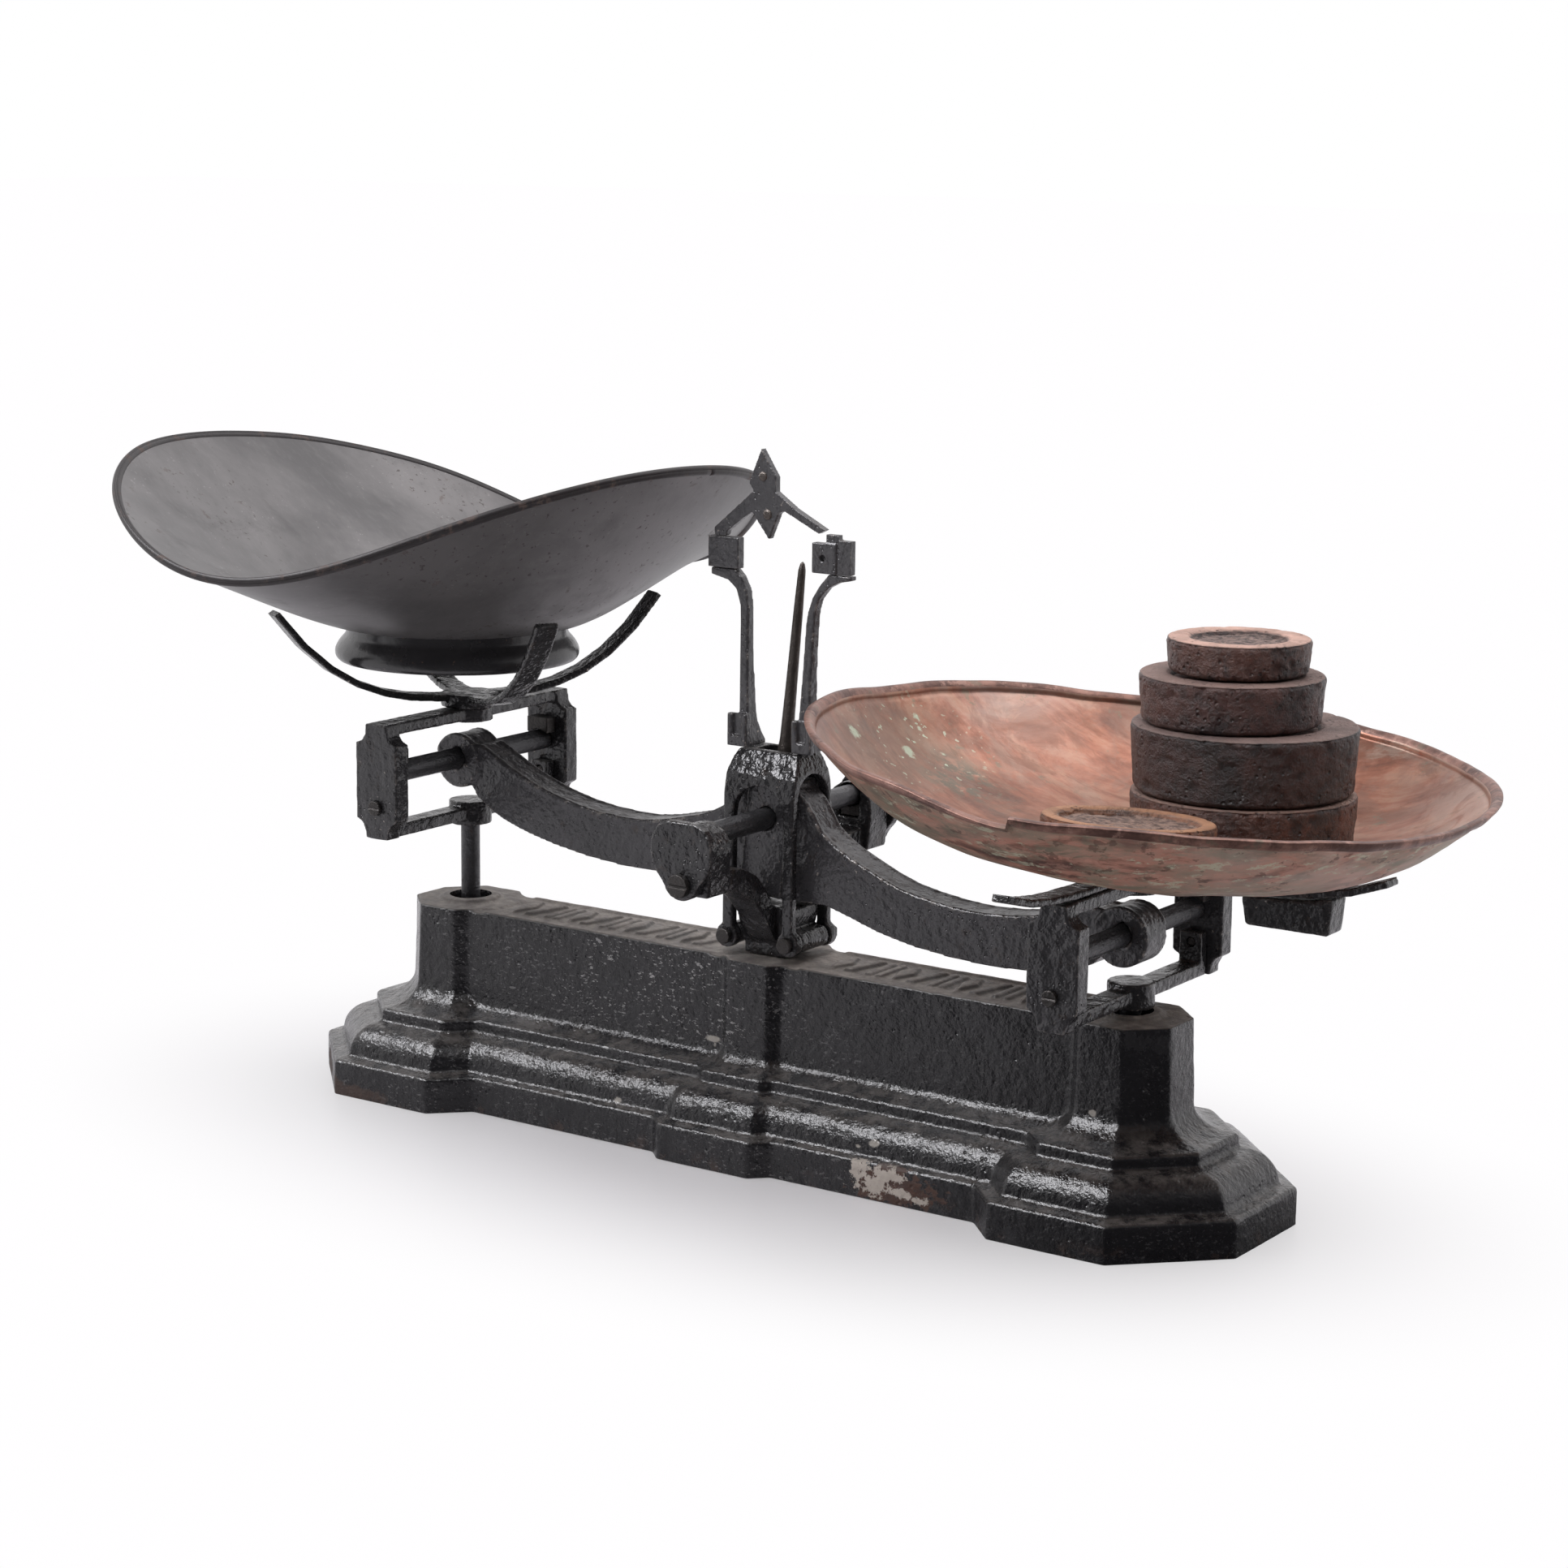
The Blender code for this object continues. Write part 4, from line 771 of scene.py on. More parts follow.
def made_lumpy(ob):
    displace(ob, CAST_LUMPS, 0.00025)
    apply_modifiers(ob)
    ob.data.shade_smooth()


def grow(ob, voxel, smooth, cast=0.0, lump=0.0):
    """Voxel skin over closed shells: joins them, rounds their edges, gives cast texture."""
    remesh = ob.modifiers.new("r", "REMESH")
    remesh.mode = "VOXEL"
    remesh.voxel_size = voxel
    remesh.use_smooth_shade = True
    soften = ob.modifiers.new("s", "SMOOTH")
    soften.factor = 0.5
    soften.iterations = smooth
    if lump:
        displace(ob, CAST_LUMPS, lump)
    if cast:
        displace(ob, CAST_SKIN, cast)
    apply_modifiers(ob)
    ob.data.shade_smooth()


def skin(node, material, voxel, smooth, cast=0.0, lump=0.0, extra=()):
    """A fine skin that stands for a CAD node on the same body."""
    me = clean_copy(node)
    if extra:
        me = joined(node, [me, *extra])
    ob = new_object(node + "_skin", me, material)
    grow(ob, voxel, smooth, cast, lump)
    register(ob, NODES[node]["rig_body"], node)


def lathe(name, profile, seg, close=False):
    """Turned form about Z from a profile of (radius, z)."""
    bm = bmesh.new()
    rings = []
    for r, z in profile:
        if r < 1e-7:
            rings.append([bm.verts.new((0, 0, z))])
        else:
            turns = [math.tau * i / seg for i in range(seg)]
            rings.append([bm.verts.new((r * math.cos(t), r * math.sin(t), z)) for t in turns])
    pairs = list(zip(rings, rings[1:]))
    if close:
        pairs.append((rings[-1], rings[0]))
    for a, b in pairs:
        for i in range(seg):
            j = (i + 1) % seg
            if len(a) == 1:
                bm.faces.new((a[0], b[i], b[j]))
            elif len(b) == 1:
                bm.faces.new((a[i], a[j], b[0]))
            else:
                bm.faces.new((a[i], a[j], b[j], b[i]))
    return closed_mesh(name, bm)


def strip(bm, a, b, slot=0, flip=False):
    """Quads between two closed rings of vertices."""
    for i in range(len(a)):
        j = (i + 1) % len(a)
        quad = (a[i], b[i], b[j], a[j])
        bm.faces.new(quad[::-1] if flip else quad).material_index = slot


def rounded(profile, r, n=4):
    """Rounds the inner corners of an open profile with small arcs."""
    out = [profile[0]]
    for a, b, c in zip(profile, profile[1:], profile[2:]):
        a, b, c = Vector(a), Vector(b), Vector(c)
        u, v = a - b, c - b
        cut = min(r, u.length * 0.45, v.length * 0.45)
        start, end = b + u.normalized() * cut, b + v.normalized() * cut
        for i in range(n + 1):
            t = i / n
            w = start.lerp(b, t).lerp(b.lerp(end, t), t)
            out.append((w.x, w.y))
    out.append(profile[-1])
    return out


def densify(profile, step):
    out = [profile[0]]
    for a, b in zip(profile, profile[1:]):
        n = max(1, int(math.ceil(math.dist(a, b) / step)))
        out += [(a[0] + (b[0] - a[0]) * i / n, a[1] + (b[1] - a[1]) * i / n)
                for i in range(1, n + 1)]
    return out


def prism(name, outline, lo, hi, along):
    """Closed prism of an outline, along X (outline in y, z) or Z (outline in x, y)."""
    bm = bmesh.new()

    def ring(w):
        return [bm.verts.new((w, u, v) if along == "X" else (u, v, w)) for u, v in outline]

    a, b = ring(lo), ring(hi)
    bm.faces.new(a)
    bm.faces.new(list(reversed(b)))
    for i in range(len(a)):
        j = (i + 1) % len(a)
        bm.faces.new((a[j], a[i], b[i], b[j]))
    return closed_mesh(name, bm, smooth=False)


def block(name, lo, hi):
    bm = bmesh.new()
    bmesh.ops.create_cube(bm, size=1.0)
    for v in bm.verts:
        v.co = Vector([(a + b) / 2 + c * (b - a) for a, b, c in zip(lo, hi, v.co)])
    return raw_mesh(name, bm)


def tube(name, points, radius, seg):
    """Closed round tube along a list of points."""
    bm = bmesh.new()
    u = None
    rings = []
    for i, p in enumerate(points):
        along = (points[min(i + 1, len(points) - 1)] - points[max(i - 1, 0)]).normalized()
        if u is None:
            u = along.orthogonal().normalized()
        else:
            u = (u - along * u.dot(along)).normalized()
        v = along.cross(u)
        turns = [math.tau * k / seg for k in range(seg)]
        rings.append([bm.verts.new(p + (u * math.cos(t) + v * math.sin(t)) * radius)
                      for t in turns])
    for a, b in zip(rings, rings[1:]):
        for i in range(seg):
            j = (i + 1) % seg
            bm.faces.new((a[i], a[j], b[j], b[i]))
    bm.faces.new(list(reversed(rings[0])))
    bm.faces.new(rings[-1])
    return closed_mesh(name, bm)


# ================================================================ base casting
# half widths of the moulded sections, and the height where the cove starts, mm
END_PED = dict(top=21.8, neck=22.8, fillet=38.6, ovolo=52.6, plinth=58.9, cove=44.0)
MID_PED = dict(top=22.2, neck=22.8, fillet=33.0, ovolo=46.0, plinth=51.8, cove=40.5)
WALL = dict(top=17.7, neck=18.9, fillet=29.1, ovolo=41.6, plinth=45.3, cove=38.5)
# heights shared by all the sections, mm
COVE_FOOT, FILLET_TOP, FILLET_FOOT = 33.3, 32.4, 28.2
OVOLO_TOP, OVOLO_DROP, PLINTH_TOP = 27.6, 12.4, 13.4
WALL_THICK = 5.0 * MM
DECK_Z = 0.0753


def middle_x(node):
    lo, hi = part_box(node)
    return (lo.x + hi.x) / 2


RIGHT_X = middle_x("right_stem")
LEFT_X = middle_x("left_stem")
PEDESTALS = (LEFT_X, END_PED), (RIGHT_X, END_PED), (0.0, MID_PED)


def moulding(top, neck, fillet, ovolo, plinth, cove, z_top, z_low, n=14):
    """Section (half width, z) in metres: cove, fillet, ovolo and plinth."""
    p = [(top, z_top), (neck, cove)]
    for i in range(1, n):
        a = math.radians(90 * i / n)
        p.append((neck + (fillet - 1.0 - neck) * (1 - math.cos(a)),
                  cove - (cove - COVE_FOOT) * math.sin(a)))
    p += [(fillet - 1.0, COVE_FOOT), (fillet - 0.9, 32.5), (fillet, FILLET_TOP),
          (fillet, FILLET_FOOT)]
    lip = fillet + 2.2
    p.append((lip, OVOLO_TOP))
    for i in range(1, n + 1):
        a = math.radians(90 * i / n)
        p.append((lip + (ovolo - lip) * math.sin(a), OVOLO_TOP - OVOLO_DROP * (1 - math.cos(a))))
    p += [(plinth - 0.8, 14.4), (plinth, PLINTH_TOP), (plinth, z_low)]
    return [(r * MM, z * MM) for r, z in p]


def hollow(section, lowest):
    """The section moved in and down by the casting's thickness."""
    return [(r - WALL_THICK, max(z - WALL_THICK, lowest)) for r, z in section]


def octagon(name, section, x):
    k = 1.0 / math.cos(math.radians(22.5))
    profile = [(0.0, section[0][1])] + [(r * k, z) for r, z in section] + [(0.0, section[-1][1])]
    me = lathe(name, profile, 8)
    me.transform(Matrix.Translation((x, 0, 0)) @ Matrix.Rotation(math.radians(22.5), 4, "Z"))
    return me


def wall(name, section):
    outline = section + [(-y, z) for y, z in reversed(section)]
    return prism(name, outline, LEFT_X, RIGHT_X, along="X")


def turned_at_stems(name, profile, seg):
    """The same turned form about both stems."""
    out = []
    for x in (LEFT_X, RIGHT_X):
        me = lathe(name, profile, seg)
        me.transform(Matrix.Translation((x, 0, 0)))
        out.append(me)
    return out


def deck_ornament(x0, x1):
    """A bead along both edges of the deck and a strip of raised shapes between them."""
    out = [block("bead", (x0, y - 0.0011, DECK_Z - 0.0016), (x1, y + 0.0011, DECK_Z + 0.0007))
           for y in (-0.0164, 0.0164)]
    count = 11
    low = DECK_Z - 0.001
    pitch = (x1 - x0 - 0.010) / count
    for i in range(count):
        x = x0 + 0.005 + pitch * (i + 0.5)
        high = DECK_Z + (0.0016 + 0.0003 * math.sin(i * 2.3))
        slant = [(x - 0.0040, -0.0095), (x - 0.0006, -0.0095), (x + 0.0040, 0.0095),
                 (x + 0.0006, 0.0095)]
        lozenge = [(x, -0.0100), (x + 0.0034, 0.0), (x, 0.0100), (x - 0.0034, 0.0)]
        if i % 3 == 2:
            out += [block("orn", (x + a, -0.0095, low), (x + b, 0.0095, high))
                    for a, b in ((-0.0034, -0.0012), (0.0012, 0.0034))]
        else:
            out.append(prism("orn", (lozenge, slant)[i % 3], low, high, along="Z"))
    return out


def base_cutters():
    """Shells that hollow the base, open the stem holes and trim the foot flat."""
    cutters = [octagon("hole", hollow(moulding(**d, z_top=76.1, z_low=-6.0, n=5), -0.006), x)
               for x, d in PEDESTALS]
    cutters.append(wall("holew", hollow(moulding(**WALL, z_top=75.7, z_low=-5.5, n=5), -0.0055)))
    cutters += turned_at_stems("stemhole", [(0, 0.090), (0.0088, 0.090), (0.0088, 0.055),
                                            (0, 0.055)], 40)
    cutters.append(block("trim", (-0.3, -0.1, -0.03), (0.3, 0.1, 0.0)))
    return [new_object(me.name, me) for me in cutters]


def base_casting():
    """Three octagonal pedestals on a long moulded wall, a ring about each stem and a
    raised strip ornament along the top."""
    parts = [wall("wall", moulding(**WALL, z_top=75.3, z_low=-3.0))]
    parts += [octagon("ped", moulding(**d, z_top=76.0, z_low=-3.0), x) for x, d in PEDESTALS]
    parts += turned_at_stems("ring", [(0.0, 0.0775), (0.0112, 0.0775), (0.0124, 0.0768),
                                      (0.0138, 0.0745), (0.0, 0.0745)], 48)
    gap = 0.0215
    parts += deck_ornament(LEFT_X + gap, -gap) + deck_ornament(gap, RIGHT_X - gap)
    ob = new_object("base_skin", joined("base_skin", parts), BASE_PAINT)
    grow(ob, voxel=0.00085, smooth=3, cast=0.00032, lump=0.0004)
    cutters = base_cutters()
    for cutter in cutters:
        cut = ob.modifiers.new("b", "BOOLEAN")
        cut.operation = "DIFFERENCE"
        cut.solver = "MANIFOLD"
        cut.object = cutter
    apply_modifiers(ob)
    for cutter in cutters:
        bpy.data.meshes.remove(cutter.data)
    ob.data.shade_smooth()
    ob.data.set_sharp_from_angle(angle=math.radians(50))
    register(ob, "base", "base_casting")


def inner_ribs():
    """The cross tie and the two stay lugs inside the base."""
    parts = [block("tie", (-0.0068, -0.0475, 0.0003), (0.0068, 0.0475, 0.0078))]
    for lo, hi in ((-0.0128, -0.0092), (0.0092, 0.0128)):
        parts.append(block("lug", (-0.0058, lo, 0.0232), (0.0058, hi, 0.0728)))
    ob = new_object("inner_ribs", joined("inner_ribs", parts), BASE_PAINT)
    grow(ob, voxel=0.0009, smooth=2, cast=0.0002)
    register(ob, "base")


base_casting()
inner_ribs()

# ================================================================ iron pieces from the frame
# nodes, material, voxel size, smoothing passes, depth of cast texture and of lumps
STAND = (
    ("centre_pillar", IRON, 0.00062, 3, 0.00022, 0.0003),
    ("bearing_cap_front bearing_cap_back", IRON, 0.00062, 3, 0.0003, 0.00025),
    ("cage", IRON, 0.00055, 3, 0.00026, 0.0003),
    ("upright_left", HEAD_IRON, 0.00045, 2, 0.00012, 0),
    ("head_block_left", HEAD_IRON, 0.0004, 2, 0.00012, 0),
    ("upright_right", HEAD_IRON, 0.00045, 2, 0.00012, 0),
    ("head_block_right", HEAD_IRON, 0.0004, 2, 0.00012, 0),
    ("finial", HEAD_IRON, 0.0004, 1, 0.0001, 0),
)
FITTINGS = (
    ("left_carrier_frame", PLATE_IRON, 0.00062, 3, 0.0005, 0.0004),
    ("left_carrier_yoke", IRON, 0.00062, 3, 0.00026, 0.0003),
    ("left_spider", IRON, 0.0006, 2, 0.00024, 0.0002),
    ("right_carrier_frame", PLATE_IRON, 0.00062, 3, 0.0005, 0.0004),
    ("right_carrier_yoke", IRON, 0.00062, 3, 0.00026, 0.0003),
    ("right_spider", IRON, 0.0006, 2, 0.00024, 0.0002),
    ("balance_box", IRON, 0.0007, 3, 0.0003, 0.0003),
    ("centre_knife left_knife right_knife", KNIFE_STEEL, 0.0005, 3, 0.00014, 0),
    ("pointer", POINTER_STEEL, 0.0004, 3, 0, 0),
    ("cap_screw_front cap_screw_back cage_pin_left cage_pin_right left_yoke_screw_front "
     "left_yoke_screw_back right_yoke_screw_front right_yoke_screw_back",
     SCREW_STEEL, 0.0003, 2, 0, 0),
    ("centre_bearing_front centre_bearing_back left_hanger_bearing_front "
     "left_hanger_bearing_back right_hanger_bearing_front right_hanger_bearing_back "
     "left_stem_pin right_stem_pin stay_pin stay", SCREW_STEEL, 0.0004, 1, 0, 0),
    ("left_stem right_stem", KNIFE_STEEL, 0.00055, 4, 0, 0),
)


def skins(table):
    for nodes, *look in table:
        for node in nodes.split():
            skin(node, *look)


def finial_rivets():
    """Two hammered rivets on the front of the finial."""
    domes = []
    for x, z, r in ((-0.0047, 0.2636, 0.0018), (-0.0024, 0.2491, 0.0020)):
        dome = lathe("rivet", [(0.0, -0.0016), (r * 1.05, -0.0016), (r * 1.02, 0.0001),
                               (r * 0.86, 0.00045), (r * 0.45, 0.00062), (0.0, 0.0005)], 24)
        dome.transform(Matrix.Translation((x, -0.0080, z))
                       @ Matrix.Rotation(math.radians(90), 4, "X"))
        domes.append(dome)
    ob = new_object("finial_rivets", joined("finial_rivets", domes), POINTER_STEEL)
    made_lumpy(ob)
    register(ob, "base")


def arris_beads(node, radius, inset):
    """Fine beads along the upper front and back arrises, to be grown into its skin."""
    me = clean_copy(node)
    bm = bmesh.new()
    bm.from_mesh(me)
    beads = []
    for e in bm.edges:
        if len(e.link_faces) != 2:
            continue
        a, b = (f.normal for f in e.link_faces)
        for side in (-1, 1):
            for face, top in ((a, b), (b, a)):
                if face.y * side > 0.9 and top.z > 0.30 and abs(top.y) < 0.3:
                    shift = Vector((0, -side * inset, 0)) - top * inset
                    beads.append(tube("bead", [v.co + shift for v in e.verts], radius, 8))
    bm.free()
    bpy.data.meshes.remove(me)
    return beads


skins(STAND)
finial_rivets()
skin("beam", BEAM_IRON, voxel=0.0007, smooth=3, cast=0.00022, lump=0.00035,
     extra=arris_beads("beam", radius=0.0013, inset=0.0007))
skins(FITTINGS)

# ================================================================ copper pan
# bends around the rim: size in mm (dips are positive down), angle and width
RIM_DIPS = (3.0, 120, 0.38), (-0.8, 295, 0.5), (-3.9, 198, 0.36)
RIM_BULGES = (0.5, 208, 0.18), (-1.6, 230, 0.18)
SPLIT = math.radians(276.5)
RIM_R = PAN_R - 1.1 * MM


def bends(table, a):
    return sum(size * MM * math.exp(-((a - math.radians(at)) / width) ** 2)
               for size, at, width in table)


def around_pan(a):
    return PAN_U * math.cos(a) + PAN_V * math.sin(a)


def pan_point(r, a):
    k = r / PAN_R
    a %= math.tau
    dip = bends(RIM_DIPS, a)
    r += bends(RIM_BULGES, a) * k ** 5
    h = -PAN_DEPTH + PAN_DEPTH * k ** PAN_POWER - dip * k ** 5
    return PAN_CENTRE + PAN_U * (r * math.cos(a)) + PAN_V * (r * math.sin(a)) + PAN_AXIS * h


def pan_lift(p, a, k):
    """Hammer dents, creases at the far right, an uneven rim and the sag at the split."""
    q = Vector((p.x * 26, p.y * 26, 0.3))
    dent = noise.noise(q) * 0.0011 + noise.noise(q * 3.1) * 0.00045
    w = Vector((p.x * 0.8 + p.y * 0.6, p.y * 0.8 - p.x * 0.6, 0)) * 34
    w.x *= 0.35
    right = max(0.0, min(1.0, (p.x - 0.205) / 0.04)) * max(0.0, min(1.0, (k - 0.45) / 0.2))
    dent += right * (abs(noise.noise(w * 1.6 + Vector((4, 1, 0)))) - 0.2) * 0.0022
    wave = noise.noise(Vector((math.cos(a) * 3.0, math.sin(a) * 3.0, 7.7)))
    past = (a - SPLIT) % math.tau
    both = math.exp(-(min(past, math.tau - past) / 0.26) ** 2)
    one = math.exp(-((math.tau - past) / 0.27) ** 2)
    sag = -1.3 * MM * both * k ** 9 - 3.6 * MM * one * k ** 26
    return (dent * (0.25 + 0.75 * min(1, k * 1.5)) * (1 - 0.6 * k ** 12)
            + k ** 8 * wave * 0.0012 + sag)


def rim_bulge(k, inner):
    """Swelling of the sheet about the rim wire, with a groove below it."""
    x = (1 - k) * RIM_R / MM
    bead = math.sqrt(max(0.0, 1.0 - ((x - 1.6) / 1.6) ** 2)) if x < 3.2 else 0.0
    groove = math.exp(-((x - 3.9) / 0.7) ** 2)
    if inner:
        return (bead * 1.0 - groove * 0.30) * MM
    return (-bead * 0.7 + groove * 0.1) * MM


def pan_sheet(bm, angles, inner):
    """One face of the sheet; returns its last ring."""
    offset = PAN_THICK - 0.0001 if inner else 0.0001
    slot = 0 if inner else 1
    shares = [j / 52 * 0.955 for j in range(1, 53)] + [0.955 + 0.045 * j / 18
                                                       for j in range(1, 19)]
    centre = bm.verts.new(pan_point(0, 0) + PAN_AXIS * offset)
    rows = []
    for k in shares:
        row = []
        slope = PAN_DEPTH * PAN_POWER / PAN_R * k ** (PAN_POWER - 1)
        for a in angles:
            p = pan_point(RIM_R * k, a)
            n = (PAN_AXIS - around_pan(a) * slope).normalized()
            row.append(bm.verts.new(p + PAN_AXIS * pan_lift(p, a, k)
                                    + n * (offset + rim_bulge(k, inner))))
        rows.append(row)
    for a, b in zip(rows[0], rows[0][1:] + rows[0][:1]):
        bm.faces.new((centre, a, b) if inner else (centre, b, a)).material_index = slot
    for k, a, b in zip(shares, rows, rows[1:]):
        strip(bm, a, b, 2 if k > 0.981 else slot, flip=not inner)
    return rows[-1]


def copper_pan():
    """Hammered sheet with a wired rim that has split and sagged at the front."""
    seg = 230
    angles = [SPLIT + 0.0022 + (math.tau - 0.0044) * i / (seg - 1) for i in range(seg)]
    bm = bmesh.new()
    inner = pan_sheet(bm, angles, inner=True)
    outer = pan_sheet(bm, angles, inner=False)
    steps = 8
    chain = [inner]
    for n in range(1, steps):
        t = math.pi * n / steps
        row = []
        for v, w, a in zip(inner, outer, angles):
            p, q = v.co, w.co
            row.append(bm.verts.new((p + q) / 2 + (p - q) / 2 * math.cos(t)
                                    + around_pan(a) * 0.0007 * math.sin(t)))
        chain.append(row)
    chain.append(outer)
    for a, b in zip(chain, chain[1:]):
        strip(bm, a, b, slot=2)
    me = closed_mesh("copper_pan", bm)
    me.set_sharp_from_angle(angle=math.radians(60))
    ob = new_object("copper_pan", me, *PAN_COPPER)
    register(ob, "weights_pan", "weights_pan")


copper_pan()

# ================================================================ scoop
SCOOP_X, SCOOP_Y = -161.0 * MM, 1.0 * MM
SCOOP_HALF_X, SCOOP_HALF_Y = 126.2 * MM, 140.3 * MM
FOOT_X, FOOT_Y = -162.5 * MM, -1.0 * MM
SCOOP_BOTTOM, FOOT_TOP_R = 191.0 * MM, 44.5 * MM
SCOOP_CENTRE = Vector((FOOT_X, FOOT_Y, SCOOP_BOTTOM - 0.0005))
SCOOP_SEG, FLOOR_ROWS, WALL_ROWS = 240, 8, 44


def scoop_rim(t):
    c, s = math.cos(t), math.sin(t)
    u = SCOOP_HALF_X * c - 4.2 * MM * max(0.0, -c) ** 4
    v = SCOOP_HALF_Y * s * (1 - 0.15 * c)
    z = 0.21415 + 0.0745 * c * c - 0.0249 * c ** 4 + 0.01 * u - 0.07 * v
    return Vector((SCOOP_X + u, SCOOP_Y + v, z))


def scoop_point(t, f):
    """Point of the wall at angle t, f of the way from the floor's edge to the rim."""
    rim = scoop_rim(t)
    d = Vector((rim.x - FOOT_X, rim.y - FOOT_Y, 0.0))
    start = Vector((FOOT_X, FOOT_Y, SCOOP_BOTTOM)) + d.normalized() * FOOT_TOP_R
    p = start.lerp(rim, f)
    p.z = SCOOP_BOTTOM + (rim.z - SCOOP_BOTTOM) * f ** (1.25 + 0.25 * math.cos(t))
    return p


def scoop_grid():
    """Rings of points from the floor out to the rim."""
    turns = [math.tau * i / SCOOP_SEG for i in range(SCOOP_SEG)]
    grid = [[SCOOP_CENTRE.lerp(scoop_point(t, 0), j / FLOOR_ROWS) for t in turns]
            for j in range(1, FLOOR_ROWS + 1)]
    grid += [[scoop_point(t, j / WALL_ROWS * 0.982) for t in turns]
             for j in range(1, WALL_ROWS + 1)]
    # soften the crease at the floor's edge
    for _ in range(6):
        new = [row[:] for row in grid]
        for j in range(3, FLOOR_ROWS + 8):
            new[j] = [(a + b * 2 + c) / 4 for a, b, c in zip(grid[j - 1], grid[j], grid[j + 1])]
        grid = new
    # shallow dents of handling
    for j, row in enumerate(grid):
        for p in row:
            p.z += noise.noise(p * 17.0) * 0.0007 * min(1.0, j / 12)
    return grid


def grid_normal(grid, j, i):
    a = grid[min(j + 1, len(grid) - 1)][i] - grid[max(j - 1, 0)][i]
    b = grid[j][(i + 1) % SCOOP_SEG] - grid[j][i - 1]
    return a.cross(b).normalized()


def scoop_sheet(bm, grid, offset):
    """One face of the sheet; returns its last ring."""
    centre = bm.verts.new(SCOOP_CENTRE + Vector((0, 0, offset)))
    rows = [[bm.verts.new(p + grid_normal(grid, j, i) * offset) for i, p in enumerate(row)]
            for j, row in enumerate(grid)]
    for a, b in zip(rows[0], rows[0][1:] + rows[0][:1]):
        bm.faces.new((centre, a, b))
    for a, b in zip(rows, rows[1:]):
        strip(bm, a, b)
    return rows[-1]


def goods_scoop():
    """The sheet with its rolled lip, and the fine wired edge about the rim."""
    grid = scoop_grid()
    outward = [(a - b).normalized() for a, b in zip(grid[-1], grid[-2])]
    normals = [grid_normal(grid, len(grid) - 1, i) for i in range(SCOOP_SEG)]
    bm = bmesh.new()
    inner, outer = scoop_sheet(bm, grid, 0.0013), scoop_sheet(bm, grid, 0.0001)
    steps = 10
    chain = [inner]
    for k in range(1, steps):
        t = math.pi * k / steps
        row = []
        for a, b, e, n in zip(inner, outer, outward, normals):
            row.append(bm.verts.new((a.co + b.co) / 2
                                    + n * (0.0006 + 0.0013 * math.sin(t)) * math.cos(t)
                                    + e * 0.0017 * math.sin(t)))
        chain.append(row)
    chain.append(outer)
    for a, b in zip(chain, chain[1:]):
        strip(bm, a, b, slot=1)
    ob = new_object("goods_scoop", closed_mesh("goods_scoop", bm), TIN, TIN_EDGE)
    register(ob, "scoop", "scoop")

    ring = [p - e * 0.0006 + n * 0.0003 for p, e, n in zip(grid[-1], outward, normals)]
    wire = tube("scoop_wired_edge", ring + ring[:1], 0.00165, 12)
    register(new_object("scoop_wired_edge", wire, TIN_EDGE), "scoop")


# section of the foot ring: radius, z in mm
FOOT_SECTION = (
    (41.5, 193.2), (45.4, 193.2), (45.8, 188.0), (48.8, 184.6), (50.4, 181.6),
    (50.2, 178.8), (48.6, 177.2), (46.8, 177.6), (47.4, 181.0), (44.0, 185.6),
)


def scoop_foot():
    section = [(r * MM, z * MM) for r, z in FOOT_SECTION]
    section = rounded(section + section[:1], 0.0012)[:-1]
    me = lathe("scoop_foot_ring", section, 128, close=True)
    me.transform(Matrix.Translation((FOOT_X, FOOT_Y, 0)))
    ob = new_object("scoop_foot_ring", me, FOOT_PAINT)
    made_lumpy(ob)
    register(ob, "scoop", "scoop_foot")


goods_scoop()
scoop_foot()


# ================================================================ weights
def weight_section(r, h, recess, depth):
    """Half section in metres from sizes in mm: recessed top, tapered and chamfered side."""
    foot_r, chamfer = r * 0.962, 1.3
    p = [(0, h - depth), (r * recess - 0.7, h - depth), (r * recess + 0.5, h - 0.1),
         (r * (recess + 1) / 2, h), (r - chamfer, h), (r, h - chamfer), (foot_r, chamfer),
         (foot_r - chamfer, 0), (r * 0.4, 0.3), (0, 0.3)]
    return densify(rounded([(a * MM, b * MM) for a, b in p], 0.0014), 0.0008)


def cast_weight(node, material, r, h, recess, depth, place, seed):
    """A turned weight with a rough pitted surface; sizes in mm."""
    me = lathe(node + "_cast", weight_section(r, h, recess, depth), 180)
    for v in me.vertices:
        q = v.co + Vector((seed, seed * 2, seed * 3))
        n = v.co.copy()
        n.z = 0
        rough = (noise.noise(q * 90) * 0.00022 + noise.noise(q * 230) * 0.00026
                 + noise.noise(q * 620) * 0.00016)
        pit = max(0.0, noise.noise(q * 260 + Vector((9, 2, 4))) - 0.22) * 0.0019
        inside = n.length < (recess * r - 1.0) * MM and v.co.z > h * MM * 0.5
        if n.length > 1e-5 and not inside and v.co.z < (h - 0.7) * MM:
            v.co += n.normalized() * (rough - pit) - n.normalized() * 0.00030
        elif inside:
            v.co.z += rough * 1.6 - pit * 0.5
            v.co.z += max(0.0, noise.noise(q * 120 + Vector((3, 3, 3)))) * 0.0008
        else:
            v.co.z += rough * 0.35 - pit * 0.25 - 0.00006
    me.transform(place)
    me.shade_smooth()
    ob = new_object(node + "_cast", me, material)
    register(ob, node, node)


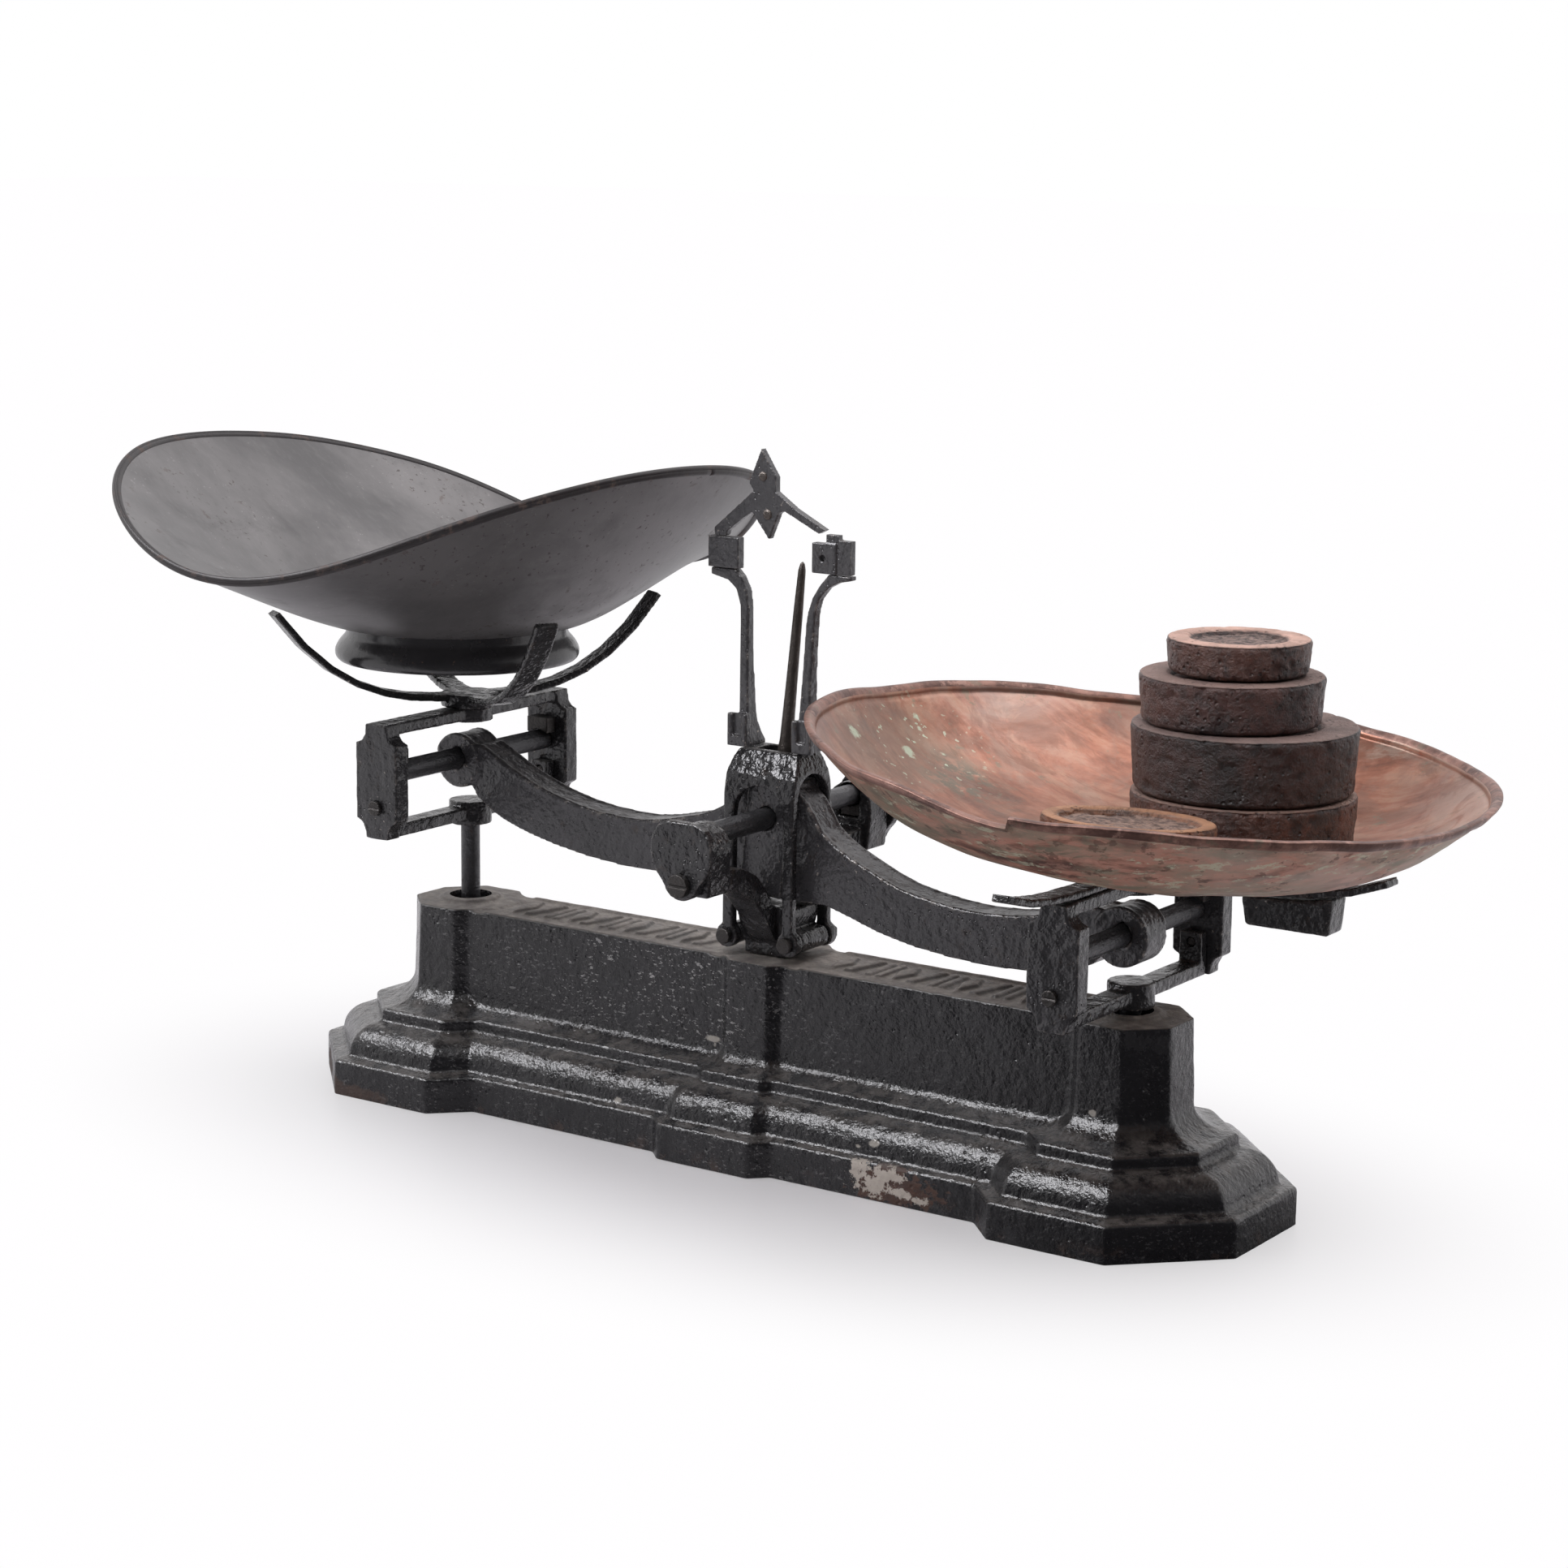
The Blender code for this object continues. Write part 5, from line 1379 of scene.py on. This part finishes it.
for k, (node, material) in enumerate((("weight_4", RUST_BROWN), ("weight_3", RUST_DARK),
                                      ("weight_2", RUST), ("weight_1", RUST_PALE))):
    at, radius, height = weight_place(node)
    cast_weight(node, material, radius / MM, height / MM, STACK_RECESS, depth=2.0,
                place=Matrix.Translation(at), seed=0.37 * k)
# the loose weight lies a little tilted in the pan
tilted = (Matrix.Translation(Vector((184.9, -58.9, 146.0)) * MM)
          @ Matrix.Rotation(math.radians(0.6), 4, "Y")
          @ Matrix.Rotation(math.radians(-5.0), 4, "X"))
cast_weight("weight_5", RUST_ORANGE, r=31.0, h=16.6, recess=LOOSE_RECESS, depth=2.6,
            place=tilted, seed=2.2)


# ================================================================ floor
def floor_material():
    """Pale paper that glows white to the camera away from the scale; the part in front
    and to the right reflects dark."""
    m = Mat("studio_floor")
    rays = m.node("LightPath").outputs
    seen = rays["Is Camera Ray"]
    away = m.vector_math("LENGTH", m.co)
    toward = m.vector_math("DOT_PRODUCT", m.co, (0.87, -0.5, 0.0))
    paper = m.mix(m.noise(3.0, detail=3), (0.84, 0.82, 0.85), (0.86, 0.84, 0.87))
    dark = m.mul(m.step(toward, lo=0.07, hi=0.2), m.step(m.xyz(m.co)[1], lo=0.12, hi=0.0),
                 rays["Is Glossy Ray"])
    m.col = m.mix(dark, paper, (0.03, 0.03, 0.03))
    m.finish(rough=0.38, specular=0.25)
    glow = m.node("Emission", ((1.0, 0.992, 1.0), 1.0)).outputs[0]
    dim = m.mix(dark, (0.95, 0.94, 0.96), (0.03, 0.03, 0.03))
    dim_glow = m.node("Emission", (dim,)).outputs[0]
    light = m.node("MixShader", (seen, dim_glow, glow)).outputs[0]
    around = m.vector_math("LENGTH", m.map(scale=(0.6, 1.0, 1.0)))
    lifted = m.lerp(m.step(around, lo=0.05, hi=0.22), 0.18, 1.0)
    share = m.lerp(seen, m.step(away, lo=0.3, hi=0.8), lifted)
    blend = m.node("MixShader", (share, m.bsdf.outputs[0], light)).outputs[0]
    m.put(m.out.inputs[0], blend)
    return m.material


def studio_floor():
    bm = bmesh.new()
    bmesh.ops.create_grid(bm, x_segments=1, y_segments=1, size=14.0)
    ob = new_object("studio_floor", raw_mesh("studio_floor", bm), floor_material())
    ob.location = (0, 0, -0.0002)


# ================================================================ world, lights, camera
def studio_world():
    """A white sweep behind and to the sides, a dim room on the camera's side."""
    world = bpy.data.worlds.new("studio")
    SCENE.world = world
    world.use_nodes = True
    w = Tree(world.node_tree)
    bearing = math.radians(34.4)
    view = Vector((math.sin(bearing), -math.cos(bearing), 0.0))
    direction = w.node("TexCoord").outputs["Generated"]
    front = w.step(w.vector_math("DOT_PRODUCT", direction, view), lo=0.15, hi=0.62)
    high = w.step(w.xyz(direction)[2], lo=0.45, hi=0.8)
    sweep = w.mix(high, (1.0, 0.985, 1.0), (0.42, 0.41, 0.42))
    room = w.mix(high, (0.045, 0.045, 0.048), (0.2, 0.2, 0.21))
    around = w.mix(front, sweep, room)
    seen = w.node("LightPath").outputs["Is Camera Ray"]
    background = w.node("Background", (w.mix(seen, around, (1.0, 1.0, 1.0)), 1.0))
    w.node("OutputWorld", (background.outputs[0],))


def soft_light(name, azimuth, elevation, dist, width, depth, radiance, colour):
    """Rectangular soft box aimed at the scale; azimuth in degrees from -Y toward +X,
    strength as its own brightness."""
    az, el = math.radians(azimuth), math.radians(elevation)
    light = bpy.data.lights.new(name, "AREA")
    light.shape = "RECTANGLE"
    light.size, light.size_y = width, depth
    light.energy = radiance * math.pi * width * depth
    light.color = colour
    ob = bpy.data.objects.new(name, light)
    SCENE.collection.objects.link(ob)
    d = Vector((math.sin(az) * math.cos(el), -math.cos(az) * math.cos(el), math.sin(el)))
    ob.location = Vector((0, 0, 0.1)) + d * dist
    ob.rotation_euler = (-d).to_track_quat("-Z", "Y").to_euler()
    return ob


def studio_camera():
    azimuth, elevation, roll = (math.radians(v) for v in (34.363, 11.061, 0.691))
    back = Vector((math.sin(azimuth) * math.cos(elevation),
                   -math.cos(azimuth) * math.cos(elevation), math.sin(elevation)))
    right = Vector((math.cos(azimuth), math.sin(azimuth), 0.0))
    up = back.cross(right)
    axes = (math.cos(roll) * right + math.sin(roll) * up,
            -math.sin(roll) * right + math.cos(roll) * up, back)
    camera = bpy.data.cameras.new("camera")
    camera.lens = 78.51
    camera.sensor_width = 36.0
    camera.sensor_fit = "HORIZONTAL"
    camera.clip_start = 0.01
    camera.clip_end = 60
    ob = bpy.data.objects.new("camera", camera)
    SCENE.collection.objects.link(ob)
    placed = Matrix(axes).transposed().to_4x4()
    placed.translation = Vector((0.73973, -1.07994, 0.39905))
    ob.matrix_world = placed
    SCENE.camera = ob


studio_floor()
studio_world()
key = soft_light("key_box", azimuth=-40, elevation=46, dist=1.35, width=1.25, depth=0.46,
                 radiance=13.0, colour=(0.965, 0.962, 1.0))
key.visible_diffuse = False
soft_light("fill_box", azimuth=-20, elevation=62, dist=1.5, width=1.5, depth=1.1,
           radiance=1.9, colour=(0.99, 0.985, 1.0))
soft_light("top_box", azimuth=150, elevation=66, dist=1.4, width=1.4, depth=1.0,
           radiance=2.3, colour=(1.0, 0.99, 1.0))
studio_camera()
SCENE.view_settings.view_transform = "Standard"
SCENE.view_settings.look = "None"
SCENE.view_settings.exposure = 0.0
